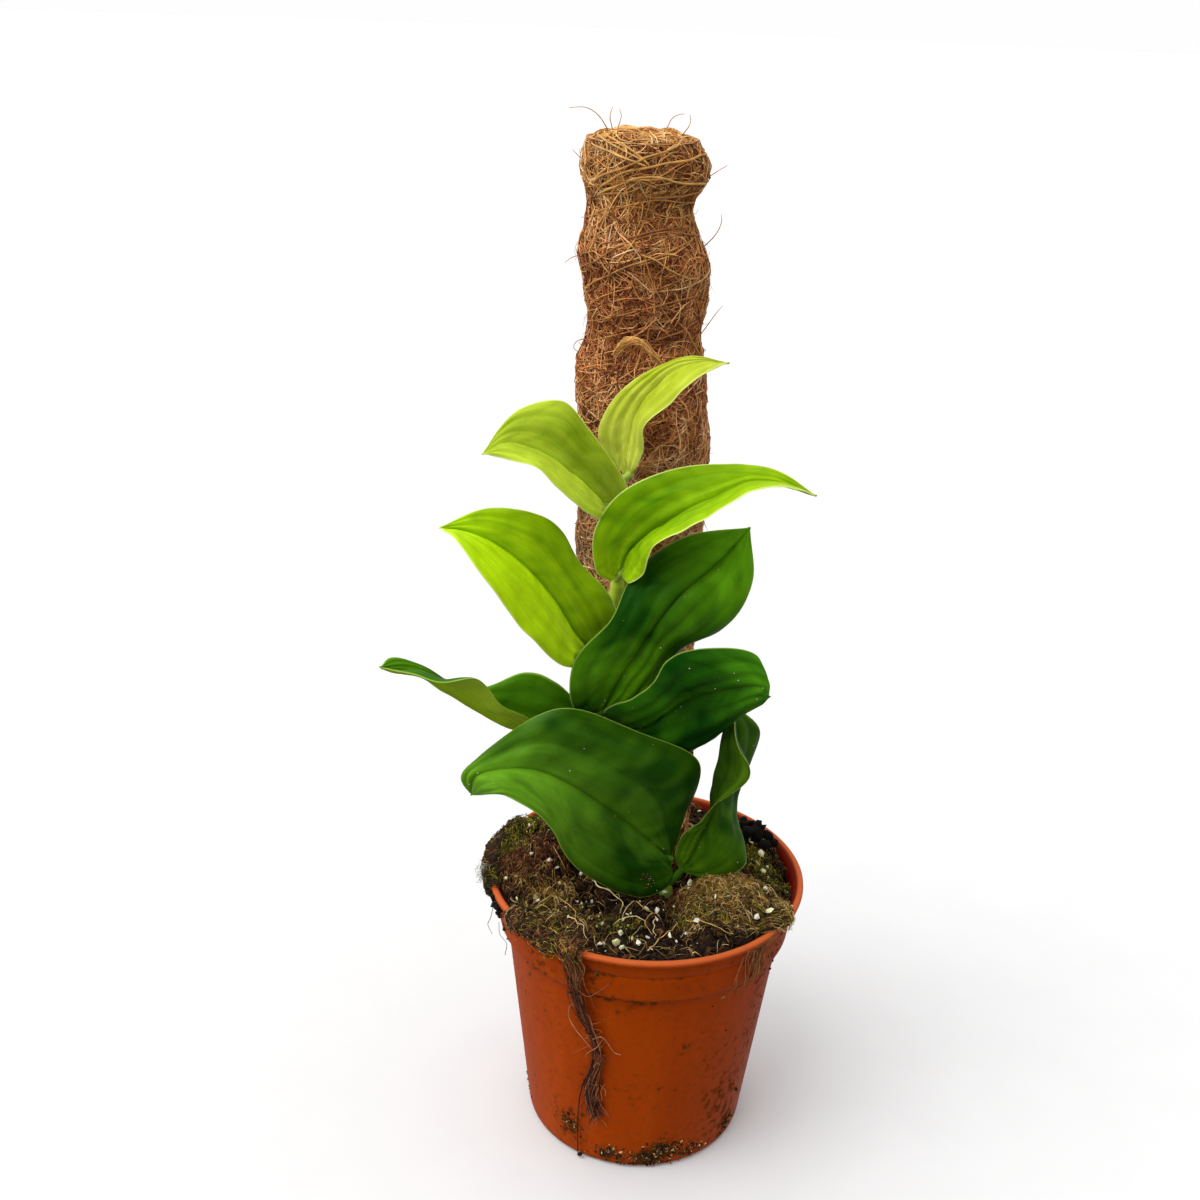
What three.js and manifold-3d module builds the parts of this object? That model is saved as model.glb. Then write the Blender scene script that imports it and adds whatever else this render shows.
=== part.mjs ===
// A young shingle-leaved climber in a 12 cm nursery pot, growing up a coir pole.
// Millimetres, +Z up. The origin is the centre of the pot's underside. The front, which the leaves
// face, is -Y, and +X is to the right as seen from the front.
import * as THREE from 'three';
import { mergeVertices } from 'three/addons/utils/BufferGeometryUtils.js';
import Module from 'manifold-3d';

const wasm = await Module();
wasm.setup();

// Driving dimensions
const POT_TOP_RADIUS = 60;
const POT_HEIGHT = 107;
const POT_BASE_RADIUS = 42.5;
const POT_WALL = 1.4;
const POT_FLOOR = 2.2;
const POT_SIDES = 36;
const COLLAR_BOTTOM = 87;
const COLLAR_GROOVE = 97.6;
const DRAIN_HOLES = 8;
const DRAIN_HOLE_RADIUS = 4;
const DRAIN_CIRCLE_RADIUS = 31;
const GAP = 0.4;
const SLIVER = 0.04;

const SOIL_LEVEL = 104;

const POLE_Y = 15;
const POLE_BOTTOM = 97;
const STAKE_RADIUS = 6;
const STAKE_BOTTOM = 10;
const STAKE_TOP = 366;

const STEM_RADIUS = 2.3;
const STALK_HALF_WIDTH = 1.5;
const TIP_HALF_WIDTH = 0.6;
const BLADE_HALF_THICKNESS = 0.4;

const COLOURS = {
  pot: '#a1481f', soil: '#2c1e15', moss: '#64612a', deadMoss: '#8a6c43', clump: '#1f1712',
  root: '#6a4a30', coir: '#94662f', stake: '#b08a5c', stem: '#8fae4f',
};

function material(colour, roughness) {
  return new THREE.MeshStandardMaterial({ color: colour, roughness, metalness: 0 });
}

function point(x, y, z) {
  return new THREE.Vector3(x, y, z);
}

// A smooth curve through a list of [x, y, z] points, spread evenly from point to point
function curveThrough(list) {
  const curve = new THREE.CatmullRomCurve3(list.map((p) => point(...p)), false, 'catmullrom', 0.5);
  return (t) => curve.getPoint(THREE.MathUtils.clamp(t, 0, 1));
}

// A random number from 0 to 1 that is the same on each run
function seeded(seed) {
  let state = seed;
  return () => {
    state = (state * 16807) % 2147483647;
    return state / 2147483647;
  };
}

// Closed meshes from grids

function geometryFrom(positions, triangles) {
  const geometry = new THREE.BufferGeometry();
  geometry.setAttribute('position', new THREE.Float32BufferAttribute(positions, 3));
  geometry.setIndex(triangles);
  return geometry;
}

// The skin through closed rings of points, each turning the same way round, with a fan over each end
function ringSkin(rings) {
  const around = rings[0].length;
  const positions = rings.flat().flatMap((p) => [p.x, p.y, p.z]);
  const triangles = [];
  for (let i = 0; i < rings.length - 1; i++) {
    for (let j = 0; j < around; j++) {
      const a = i * around + j;
      const b = i * around + ((j + 1) % around);
      triangles.push(a, b, b + around, a, b + around, a + around);
    }
  }
  for (const [ring, facesBack] of [[0, true], [rings.length - 1, false]]) {
    const centre = point(0, 0, 0);
    rings[ring].forEach((p) => centre.addScaledVector(p, 1 / around));
    const hub = positions.length / 3;
    positions.push(centre.x, centre.y, centre.z);
    for (let j = 0; j < around; j++) {
      const a = ring * around + j;
      const b = ring * around + ((j + 1) % around);
      triangles.push(...(facesBack ? [b, a, hub] : [a, b, hub]));
    }
  }
  return geometryFrom(positions, triangles);
}

// A sheet with its two faces as grids of points, split into triangles alike, and walls round its edge
function sheetSkin(top, bottom) {
  const rows = top.length;
  const columns = top[0].length;
  const positions = [...top.flat(), ...bottom.flat()].flatMap((p) => [p.x, p.y, p.z]);
  const under = rows * columns;
  const at = (i, j) => i * columns + j;
  const triangles = [];
  for (let i = 0; i < rows - 1; i++) {
    for (let j = 0; j < columns - 1; j++) {
      const [a, b, c, d] = [at(i, j), at(i, j + 1), at(i + 1, j + 1), at(i + 1, j)];
      triangles.push(a, b, c, a, c, d);
      triangles.push(c + under, b + under, a + under, d + under, c + under, a + under);
    }
  }
  const border = [];
  for (let j = 0; j < columns - 1; j++) border.push(at(0, j));
  for (let i = 0; i < rows - 1; i++) border.push(at(i, columns - 1));
  for (let j = columns - 1; j > 0; j--) border.push(at(rows - 1, j));
  for (let i = rows - 1; i > 0; i--) border.push(at(i, 0));
  border.forEach((a, k) => {
    const b = border[(k + 1) % border.length];
    triangles.push(b, a, a + under, b, a + under, b + under);
  });
  return geometryFrom(positions, triangles);
}

// A round bar along a curve, whose radius is a function of the share of its length
function bar(curve, radiusAt, steps, sides) {
  const rings = [];
  const forward = point(0, 0, 0);
  let across = point(1, 0, 0);
  for (let i = 0; i <= steps; i++) {
    const t = i / steps;
    forward.subVectors(curve(Math.min(t + 0.01, 1)), curve(Math.max(t - 0.01, 0))).normalize();
    across.addScaledVector(forward, -across.dot(forward)).normalize();
    const over = point(0, 0, 0).crossVectors(forward, across);
    const ring = [];
    for (let j = 0; j < sides; j++) {
      const angle = (2 * Math.PI * j) / sides;
      ring.push(curve(t)
        .addScaledVector(across, radiusAt(t) * Math.cos(angle))
        .addScaledVector(over, radiusAt(t) * Math.sin(angle)));
    }
    rings.push(ring);
  }
  return ringSkin(rings);
}

// Joins and cuts

function solidOf(geometry) {
  const bare = geometry.clone();
  bare.deleteAttribute('normal');
  bare.deleteAttribute('uv');
  const merged = mergeVertices(bare, 1e-4);
  return new wasm.Manifold(new wasm.Mesh({
    numProp: 3,
    vertProperties: new Float32Array(merged.attributes.position.array),
    triVerts: new Uint32Array(merged.index.array),
  }));
}

// The solid without the loose scraps that a cut leaves
function geometryOf(solid) {
  const bodies = solid.simplify(SLIVER).decompose().sort((a, b) => b.volume() - a.volume());
  const mesh = bodies[0].getMesh();
  return geometryFrom(Array.from(mesh.vertProperties), Array.from(mesh.triVerts));
}

// The nursery pot: one thin moulded wall, its collar stepped out and its lip rolled over

function potProfile() {
  const inside = POT_WALL;
  const bodyTop = POT_BASE_RADIUS + 10.1;
  const collarFoot = bodyTop + 2.8;
  const collarTop = POT_TOP_RADIUS - 2.6;
  const outer = [
    [0, 0], [POT_BASE_RADIUS - 1.5, 0], [POT_BASE_RADIUS, 1.5],
    [bodyTop, COLLAR_BOTTOM - 1], [collarFoot, COLLAR_BOTTOM],
    [collarFoot + 1.05, COLLAR_GROOVE - 0.8], [collarFoot + 0.75, COLLAR_GROOVE],
    [collarFoot + 1.45, COLLAR_GROOVE + 0.8], [collarTop, POT_HEIGHT - 3],
    [POT_TOP_RADIUS - 0.5, POT_HEIGHT - 2.4], [POT_TOP_RADIUS, POT_HEIGHT - 1.6],
    [POT_TOP_RADIUS - 0.4, POT_HEIGHT - 0.3], [POT_TOP_RADIUS - 1.2, POT_HEIGHT],
  ];
  const inner = [
    [POT_TOP_RADIUS - 2.4, POT_HEIGHT - 0.3], [collarTop - inside, POT_HEIGHT - 3],
    [collarFoot - inside, COLLAR_BOTTOM + inside], [bodyTop - inside, COLLAR_BOTTOM],
    [POT_BASE_RADIUS - inside + 0.1, POT_FLOOR + 1], [POT_BASE_RADIUS - inside - 1, POT_FLOOR],
    [0, POT_FLOOR],
  ];
  return { outer, inner };
}

function pot() {
  const { outer, inner } = potProfile();
  const outline = [...outer, ...inner].map(([r, z]) => new THREE.Vector2(r, z));
  const turned = new THREE.LatheGeometry(outline, POT_SIDES).rotateX(Math.PI / 2);
  let shell = solidOf(turned);
  for (let i = 0; i < DRAIN_HOLES; i++) {
    const angle = (2 * Math.PI * (i + 0.5)) / DRAIN_HOLES;
    const drill = new THREE.CylinderGeometry(DRAIN_HOLE_RADIUS, DRAIN_HOLE_RADIUS, 8, 14)
      .rotateX(Math.PI / 2)
      .translate(DRAIN_CIRCLE_RADIUS * Math.cos(angle), DRAIN_CIRCLE_RADIUS * Math.sin(angle), 0);
    shell = shell.subtract(solidOf(drill));
  }
  return geometryOf(shell);
}

// The pole: [height, axis x, coir radius], read up the pole, with the waists where strands bind it

const POLE_SHAPE = [
  [97, -5.8, 20.6], [120, -6.2, 21.2], [150, -6.8, 21.6], [190, -7.6, 21.4], [225, -9.0, 21.8],
  [262, -8.6, 22.0], [285, -10.0, 22.8], [300, -11.4, 21.4], [310, -10.6, 18.9], [320, -9.8, 20.7],
  [328, -10.6, 20.2], [337, -12.4, 21.6], [345, -13.4, 18.6], [351, -14.0, 17.3], [362, -12.8, 20.6],
  [370, -13.8, 18.9], [375, -14.0, 14.5],
];

function poleAt(z) {
  const last = POLE_SHAPE.length - 1;
  let i = 0;
  while (i < last - 1 && POLE_SHAPE[i + 1][0] < z) i++;
  const [z0, x0, r0] = POLE_SHAPE[i];
  const [z1, x1, r1] = POLE_SHAPE[i + 1];
  const t = (z - z0) / (z1 - z0);
  return { x: x0 + (x1 - x0) * t, radius: r0 + (r1 - r0) * THREE.MathUtils.clamp(t, 0, 1) };
}

// Lumps of the wrapped fibre: slanting swells between the turns of the strand, and small clods
function coirRelief(angle, z) {
  const slant = Math.cos(angle * 2 + z * 0.21);
  const clods = Math.sin(angle * 5 + z * 0.9) * Math.cos(angle * 3 - z * 0.55);
  return 0.55 * slant + 0.4 * clods;
}

function coirRing(z, sides, grow) {
  const { x, radius } = poleAt(z);
  const ring = [];
  for (let j = 0; j < sides; j++) {
    const angle = (2 * Math.PI * j) / sides;
    const r = radius + coirRelief(angle, z) + grow;
    ring.push(point(x + r * Math.cos(angle), POLE_Y + r * Math.sin(angle), z));
  }
  return ring;
}

const COIR_SIDES = 22;

function coirHeights() {
  const heights = [];
  for (let z = POLE_BOTTOM; z < 280; z += 9) heights.push(z);
  for (let z = 286; z <= 375; z += 4.9) heights.push(z);
  return heights;
}

function roundRing(z, radius, sides) {
  const ring = [];
  for (let j = 0; j < sides; j++) {
    const angle = (2 * Math.PI * j) / sides;
    ring.push(point(poleAt(z).x + radius * Math.cos(angle), POLE_Y + radius * Math.sin(angle), z));
  }
  return ring;
}

function stake() {
  const heights = [STAKE_BOTTOM, STAKE_BOTTOM + 12, POLE_BOTTOM, 190, 262, 310, 345, STAKE_TOP];
  return ringSkin(heights.map((z, i) => roundRing(z, i === 0 ? 2.5 : STAKE_RADIUS, 12)));
}

function stakeHole(bottom, top) {
  const heights = [bottom, bottom + 12, POLE_BOTTOM, 190, 262, 310, 345, top].filter((z) => z <= top);
  return solidOf(ringSkin(heights.map((z) => roundRing(z, STAKE_RADIUS + GAP, 12))));
}

function coirWrap() {
  const skin = ringSkin(coirHeights().map((z) => coirRing(z, COIR_SIDES, 0)));
  return geometryOf(solidOf(skin).subtract(stakeHole(STAKE_BOTTOM, STAKE_TOP + GAP)));
}

// The soil: its top is heaped at the left and back and lumpy all over

const SOIL_RINGS = [54.6, 50, 45, 39, 32, 24, 15, 6];

function bump(x, y, atX, atY, spread, height) {
  return height * Math.exp(-((x - atX) ** 2 + (y - atY) ** 2) / spread ** 2);
}

function soilTop(x, y) {
  const heaps = bump(x, y, -40, 10, 20, 9) + bump(x, y, 36, 22, 15, 5) + bump(x, y, 28, -24, 20, 3);
  const lumps = Math.sin(0.42 * x + 1) * Math.cos(0.37 * y) + 0.6 * Math.sin(0.83 * x + 0.61 * y);
  return SOIL_LEVEL + heaps + 0.8 * lumps;
}

const STEM_PATH = [
  [9, -13, 84], [8, -13, 106], [3, -11, 122], [-3, -11, 143], [-10, -11, 163], [-18, -11, 178],
  [-20, -11, 199], [-17, -11, 217], [-15, -11, 229], [-18, -11, 244], [-19, -11, 255], [-16, -11, 266],
];
const stemCurve = curveThrough(STEM_PATH);

function stemRadius(t) {
  const node = Math.abs(Math.sin(Math.PI * (t * 11 + 0.15)));
  return STEM_RADIUS * (1.06 - 0.28 * t) + 0.35 * (1 - node) ** 3;
}

function stem() {
  return bar(stemCurve, stemRadius, 34, 8);
}

// The room that the stem takes up, with a little to spare all round
function stemRoom() {
  const ball = new THREE.IcosahedronGeometry(STEM_RADIUS + GAP, 1).translate(...STEM_PATH.at(-1));
  return solidOf(bar(stemCurve, (t) => stemRadius(t) + GAP + 0.1, 34, 8)).add(solidOf(ball));
}

const PERLITE_PLACES = [
  [-12, -49], [-11, -43], [2, -33], [5, -38], [-3, -46], [8, -48], [36, 8], [43, 13],
];

function soil() {
  const { inner } = potProfile();
  const [, , step, bodyTop, floorEdge, floorFoot] = inner;
  const side = [
    [floorFoot[0] - 0.6, POT_FLOOR + GAP], [floorEdge[0] - GAP, POT_FLOOR + 1 + GAP],
    [bodyTop[0] - GAP, bodyTop[1]], [step[0] - GAP, step[1] + GAP], [54.9, 101],
  ];
  const ringOf = (r, heightAt) => {
    const ring = [];
    for (let j = 0; j < POT_SIDES; j++) {
      const angle = (2 * Math.PI * j) / POT_SIDES;
      const [x, y] = [r * Math.cos(angle), r * Math.sin(angle)];
      ring.push(point(x, y, heightAt(x, y)));
    }
    return ring;
  };
  const rings = side.map(([r, z]) => ringOf(r, () => z));
  for (const r of SOIL_RINGS) rings.push(ringOf(r, soilTop));
  let body = solidOf(ringSkin(rings));
  const draw = seeded(41);
  for (const [x, y] of PERLITE_PLACES) {
    const size = 1.3 + 1.1 * draw();
    const grain = new THREE.IcosahedronGeometry(size, 0);
    grain.rotateX(3 * draw()).rotateZ(3 * draw()).translate(x, y, soilTop(x, y) + 0.35 * size);
    body = body.add(solidOf(grain));
  }
  const holeHeights = [POLE_BOTTOM - GAP, 106, 115, 124];
  const wrapHole = ringSkin(holeHeights.map((z) => coirRing(z, COIR_SIDES, 2 * GAP)));
  const stemHoleFoot = new THREE.CylinderGeometry(3.2, 3.2, 3, 9).rotateX(Math.PI / 2)
    .translate(...STEM_PATH[0]);
  return geometryOf(body
    .subtract(solidOf(wrapHole))
    .subtract(stakeHole(STAKE_BOTTOM - GAP, POLE_BOTTOM + 5))
    .subtract(stemRoom())
    .subtract(solidOf(stemHoleFoot)));
}

// Patches that lie on the soil and drape over the lip. The path runs out from the middle: over the
// soil, up on the lip, over it and down outside the collar. It gives [radius, height, lift direction].

const REST_GAP = 1.2;

// The height of the soil's facets, which are flat between its rings and its sides
function soilFacet(r, degrees) {
  const turn = (degrees / 360) * POT_SIDES;
  const outer = SOIL_RINGS[Math.max(SOIL_RINGS.findIndex((ring) => ring <= r) - 1, 0)];
  const inner = SOIL_RINGS[SOIL_RINGS.indexOf(outer) + 1];
  const heightAt = (ring, step) => {
    const angle = (2 * Math.PI * step) / POT_SIDES;
    return soilTop(ring * Math.cos(angle), ring * Math.sin(angle));
  };
  const alongRing = (ring) => THREE.MathUtils
    .lerp(heightAt(ring, Math.floor(turn)), heightAt(ring, Math.floor(turn) + 1), turn % 1);
  return THREE.MathUtils.lerp(alongRing(inner), alongRing(outer), (r - inner) / (outer - inner));
}

function drapePath(degrees, innerRadius, reach) {
  const onSoil = SOIL_RINGS.filter((r) => r >= innerRadius).reverse();
  const outside = POT_TOP_RADIUS + GAP;
  return [
    ...onSoil.map((r) => [r, soilFacet(r, degrees) + REST_GAP, 0]),
    [POT_TOP_RADIUS - 2.6, POT_HEIGHT + GAP, 0.25],
    [outside, POT_HEIGHT + GAP, 0.8],
    [outside, POT_HEIGHT - 2.2, 1.4],
    [outside - 0.3, POT_HEIGHT - 2.2 - reach * 0.5, 1.5],
    [outside - 0.8, POT_HEIGHT - 2.2 - reach, 1.55],
  ];
}

function drape({ fromDegrees, toDegrees, innerRadius, steps, reachAt, thicknessAt }) {
  const top = [];
  const bottom = [];
  for (let i = 0; i <= steps; i++) {
    const u = i / steps;
    const degrees = THREE.MathUtils.lerp(fromDegrees, toDegrees, u);
    const angle = THREE.MathUtils.degToRad(degrees);
    const outward = ([r, z]) => point(r * Math.cos(angle), r * Math.sin(angle), z);
    const path = drapePath(degrees, innerRadius, reachAt(u));
    bottom.push(path.map(outward));
    top.push(path.map(([r, z, tilt], k) => {
      const thickness = thicknessAt(u, k / (path.length - 1));
      return outward([r + thickness * Math.sin(tilt), z + thickness * Math.cos(tilt)]);
    }));
  }
  return sheetSkin(top, bottom);
}

// A patch's thickness: thin at its border, heaped in the middle, with lumps over it
function heaped(u, v, height, lumps) {
  const share = Math.sin(Math.PI * u) ** 0.7 * Math.sin(Math.PI * (0.04 + 0.92 * v)) ** 0.6;
  return 0.8 + share * (height + lumps * Math.sin(11 * u + 9 * v) * Math.cos(7 * u - 8 * v));
}

function mossLeft() {
  return drape({
    fromDegrees: 207, toDegrees: 243, innerRadius: 32, steps: 12,
    reachAt: (u) => 3 + 3.5 * Math.sin(7 * u) ** 2,
    thicknessAt: (u, v) => heaped(u, v, 3.0, 1.2),
  });
}

function mossRight() {
  return drape({
    fromDegrees: 292, toDegrees: 351, innerRadius: 24, steps: 18,
    reachAt: (u) => 2 + 5 * Math.sin(Math.PI * u) ** 2,
    thicknessAt: (u, v) => heaped(u, v, 6.0 - 4 * v, 1.2),
  });
}

function clumpLeft() {
  return drape({
    fromDegrees: 172, toDegrees: 205, innerRadius: 45, steps: 10,
    reachAt: (u) => 3 + 11 * Math.sin(Math.PI * u) ** 2,
    thicknessAt: (u, v) => heaped(u, v, 4.5, 1.4),
  });
}

// Roots that grew over the lip and hang down the wall at the front left, joined in one bundle. Each
// path is a list of [degrees round the pot, height, distance out from the wall there].

const ROOTS = [
  {
    radius: 1.5,
    path: [
      [245, 108, -8], [246, 110, -1], [247, 108, 2.4], [249, 101, 4.2], [250, 93, 3.4], [251, 86, 4.8],
      [251, 79, 2.4], [253, 69, 2.0], [254, 54, 2.1], [253, 39, 2.0], [251, 25, 2.1],
    ],
  },
  {
    radius: 1.1,
    path: [
      [247, 107, -8], [248, 110, -1], [248, 108, 2.2], [247, 101, 4.4], [248, 93, 3.6], [250, 86, 4.4],
      [253, 79, 3.0], [255, 70, 1.8], [252, 58, 2.0], [254, 44, 2.4], [252, 34, 2.0],
    ],
  },
  {
    radius: 1.0,
    path: [
      [250, 107, -8], [249, 110, -1], [249, 108, 2.2], [251, 101, 4.2], [253, 93, 3.4], [252, 86, 4.4],
      [249, 78, 2.4], [250, 70, 2.0], [254, 62, 2.4], [253, 50, 1.8],
    ],
  },
  { radius: 0.7, path: [[253, 74, 2.0], [257, 68, 1.8], [259, 62, 1.6], [257, 57, 1.6], [254, 54, 1.8]] },
  {
    radius: 0.7,
    path: [[253, 48, 1.8], [249, 42, 1.6], [246, 34, 1.4], [244, 22, 1.3], [243, 10, 1.4], [244, 3, 1.4]],
  },
];

function wallRadius(z) {
  if (z >= POT_HEIGHT) return POT_TOP_RADIUS;
  const { outer } = potProfile();
  const i = Math.max(outer.findIndex(([, height]) => height > z), 2);
  const [r0, z0] = outer[i - 1];
  const [r1, z1] = outer[i];
  return r0 + ((r1 - r0) * (z - z0)) / (z1 - z0);
}

function onWall([degrees, z, out]) {
  const angle = THREE.MathUtils.degToRad(degrees);
  const r = wallRadius(z) + out;
  return [r * Math.cos(angle), r * Math.sin(angle), z];
}

function rootBundle() {
  const parts = ROOTS.map(({ radius, path }) => {
    const taper = (t) => radius * (1 - 0.4 * t);
    return solidOf(bar(curveThrough(path.map(onWall)), taper, Math.round(path.length * 1.4), 4));
  });
  return geometryOf(parts.reduce((whole, next) => whole.add(next)));
}

// Leaves. Each has the foot of its stalk in the stem, the blade's base and its tip, and three curves
// between base and tip with a point at five stations: the midrib, and the margins on the left and
// the right hand of someone who looks from base to tip with the upper face up.
const LEAVES = {
  leaf_1: {
    colour: '#2c5f14', foot: [8, -13, 108], base: [13, -13, 115], tip: [29, -12, 185],
    rib: [[17, -16, 125], [21, -19, 139], [23, -21, 152], [24, -20, 164], [25, -16, 175]],
    left: [[11, -14, 125], [15, -18, 138], [22, -29, 152], [33, -36, 164], [33, -32, 175]],
    right: [[25, -16, 115], [36, -18, 124], [32, -12, 133], [36, -8, 148], [40, -5, 165]],
  },
  leaf_2: {
    colour: '#2f6b17', foot: [4, -12, 119], base: [9, -18, 123], tip: [-63, -44, 165],
    rib: [[3, -23, 132], [-7, -30, 145], [-21, -37, 158], [-36, -42, 169], [-51, -44, 172]],
    left: [[7, -20, 116], [-5, -23, 111], [-23, -34, 125], [-34, -46, 153], [-48, -50, 165]],
    right: [[15, -18, 142], [17, -19, 162], [3, -23, 175], [-22, -29, 187], [-49, -39, 185]],
  },
  leaf_3: {
    colour: '#265812', foot: [-10, -12, 165], base: [-6, -15, 170], tip: [38, -33, 200],
    rib: [[-2, -17, 177], [5, -21, 186], [15, -26, 194], [27, -31, 200], [35, -34, 203]],
    left: [[-14, -20, 183], [-4, -33, 198], [5, -35, 213], [21, -32, 215], [35, -32, 213]],
    right: [[-2, -14, 164], [8, -14, 162], [18, -15, 168], [26, -21, 180], [34, -29, 192]],
  },
  leaf_4: {
    colour: '#356f16', foot: [-14, -12, 171], base: [-19, -15, 175], tip: [-94, -36, 202],
    rib: [[-26, -16, 174], [-37, -19, 173], [-51, -23, 177], [-66, -28, 189], [-80, -33, 199]],
    left: [[-24, -18, 171], [-35, -24, 177], [-50, -34, 189], [-59, -41, 202], [-75, -40, 203]],
    right: [[-26, -13, 181], [-34, -12, 188], [-43, -13, 193], [-58, -20, 193], [-79, -30, 200]],
  },
  leaf_5: {
    colour: '#255d12', foot: [-18, -12, 179], base: [-19, -17, 182], tip: [28, -25, 256],
    rib: [[-15, -20, 190], [-10, -25, 202], [-3, -31, 218], [6, -33, 233], [18, -29, 244]],
    left: [[-29, -21, 186], [-28, -30, 202], [-18, -34, 221], [-10, -26, 235], [8, -27, 252]],
    right: [[-12, -18, 187], [-2, -22, 198], [4, -27, 211], [20, -29, 220], [30, -29, 238]],
  },
  leaf_6: {
    colour: '#7fb016', foot: [-20, -12, 197], base: [-22, -16, 200], tip: [-73, -35, 254],
    rib: [[-24, -19, 206], [-29, -25, 216], [-36, -31, 230], [-46, -35, 243], [-59, -36, 252]],
    left: [[-26, -23, 201], [-33, -34, 207], [-43, -45, 222], [-55, -49, 241], [-65, -44, 251]],
    right: [[-14, -16, 211], [-17, -17, 225], [-27, -20, 238], [-38, -23, 254], [-57, -30, 260]],
  },
  leaf_7: {
    colour: '#8fc01e', foot: [-15.5, -12, 230], base: [-15, -18, 235], tip: [47, -39, 273],
    rib: [[-13, -21, 241], [-8, -27, 250], [1, -33, 259], [12, -38, 268], [29, -41, 277]],
    left: [[-21, -20, 232], [-24, -24, 246], [-17, -27, 262], [0, -31, 276], [24, -36, 282]],
    right: [[-11, -28, 235], [-5, -38, 247], [3, -46, 260], [14, -50, 269], [31, -47, 277]],
  },
  leaf_8: {
    colour: '#97c425', foot: [-18.5, -12, 255], base: [-19, -17, 258], tip: [-59, -36, 280],
    rib: [[-21, -20, 261], [-26, -24, 267], [-33, -28, 273], [-40, -32, 280], [-50, -35, 284]],
    left: [[-21, -24, 256], [-27, -34, 262], [-33, -41, 271], [-40, -43, 278], [-50, -41, 280]],
    right: [[-13, -17, 264], [-17, -20, 276], [-25, -21, 287], [-35, -23, 296], [-49, -29, 293]],
  },
  leaf_9: {
    colour: '#a3cb2f', foot: [-16, -11, 265], base: [-13, -14, 270], tip: [17, -31, 312],
    rib: [[-13, -16, 275], [-12, -20, 283], [-10, -25, 294], [-5, -29, 303], [3, -31, 310]],
    left: [[-19, -12, 273], [-24, -13, 281], [-21, -19, 293], [-12, -26, 307], [2, -29, 313]],
    right: [[-10, -22, 274], [-9, -31, 283], [-6, -37, 295], [0, -39, 303], [9, -37, 310]],
  },
};

const VEINS = [0, 0.32, 0.68, 1];
const COLUMNS = [0, 0.15, 0.32, 0.55, 0.8, 1];
const BLADE_ROWS = 13;
const STALK_ROWS = 3;
const FOLD = 1.35;
const CROWN = 0.10;
const PLEAT = 0.032;

// How far the blade rises between two veins, from 0 on a vein to 1 midway
function betweenVeins(share) {
  const i = VEINS.findIndex((v, k) => k > 0 && share <= v);
  const across = (share - VEINS[i - 1]) / (VEINS[i] - VEINS[i - 1]);
  return Math.sin(Math.PI * across) ** 2;
}

// Lines of places across the blade, from its left margin through the midrib to its right margin. The
// first lines are the stalk's. The power FOLD creases the blade along its midrib.
function bladeRows(leaf) {
  const { foot, base, tip } = leaf;
  const [ribLine, leftLine, rightLine] = [leaf.rib, leaf.left, leaf.right]
    .map((between) => curveThrough([base, ...between, tip]));
  const shares = [...COLUMNS.slice(1).reverse().map((c) => -c), ...COLUMNS];
  const sideways = rightLine(0.2).sub(leftLine(0.2)).normalize();
  const rows = [];
  for (let i = -STALK_ROWS; i <= BLADE_ROWS; i++) {
    const t = Math.max(i, 0) / BLADE_ROWS;
    const rib = ribLine(t);
    let left = leftLine(t);
    let right = rightLine(t);
    if (i < 0) {
      rib.lerp(point(...foot), -i / STALK_ROWS);
      left = rib.clone();
      right = rib.clone();
    }
    const least = t > 0.5 ? TIP_HALF_WIDTH : STALK_HALF_WIDTH;
    for (const [edge, hand] of [[left, -1], [right, 1]]) {
      if (edge.distanceTo(rib) < least) edge.copy(rib).addScaledVector(sideways, hand * least);
    }
    const width = left.distanceTo(right);
    const across = right.clone().sub(left);
    const lift = left.clone().add(right).multiplyScalar(0.5).sub(rib);
    const stalk = THREE.MathUtils.clamp(1 - i / 1.5, 0, 1);
    rows.push(shares.map((share) => {
      const far = Math.abs(share);
      const place = rib.clone().addScaledVector(across, share / 2).addScaledVector(lift, far ** FOLD);
      return { place, far, width, stalk };
    }));
  }
  return rows;
}

function upwardAt(rows, i, j) {
  const clampRow = (k) => THREE.MathUtils.clamp(k, 0, rows.length - 1);
  const clampColumn = (k) => THREE.MathUtils.clamp(k, 0, rows[0].length - 1);
  const along = rows[clampRow(i + 1)][j].place.clone().sub(rows[clampRow(i - 1)][j].place);
  const across = rows[i][clampColumn(j + 1)].place.clone().sub(rows[i][clampColumn(j - 1)].place);
  return point(0, 0, 0).crossVectors(across, along).normalize();
}

// The blade as a thin sheet, crowned from midrib to margin and raised between its veins; towards its
// foot it thickens into the stalk
function leafBlade(leaf) {
  const rows = bladeRows(leaf);
  const top = [];
  const bottom = [];
  rows.forEach((row, i) => {
    const topRow = [];
    const bottomRow = [];
    row.forEach(({ place, far, width, stalk }, j) => {
      const up = upwardAt(rows, i, j);
      const crown = width * (CROWN * 0.5 * Math.sin(Math.PI * far) + PLEAT * 0.5 * betweenVeins(far));
      const half = BLADE_HALF_THICKNESS + stalk * 1.1 * Math.sqrt(1 - far * far);
      const centre = place.clone().addScaledVector(up, crown * (1 - stalk));
      topRow.push(centre.clone().addScaledVector(up, half));
      bottomRow.push(centre.clone().addScaledVector(up, -half));
    });
    top.push(topRow);
    bottom.push(bottomRow);
  });
  return geometryOf(solidOf(sheetSkin(top, bottom)).subtract(stemRoom()));
}

// The whole plant in its pot

const plant = new THREE.Group();

function addPiece(name, geometry, colour, roughness) {
  const mesh = new THREE.Mesh(geometry, material(colour, roughness));
  mesh.name = name;
  plant.add(mesh);
}

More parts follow.
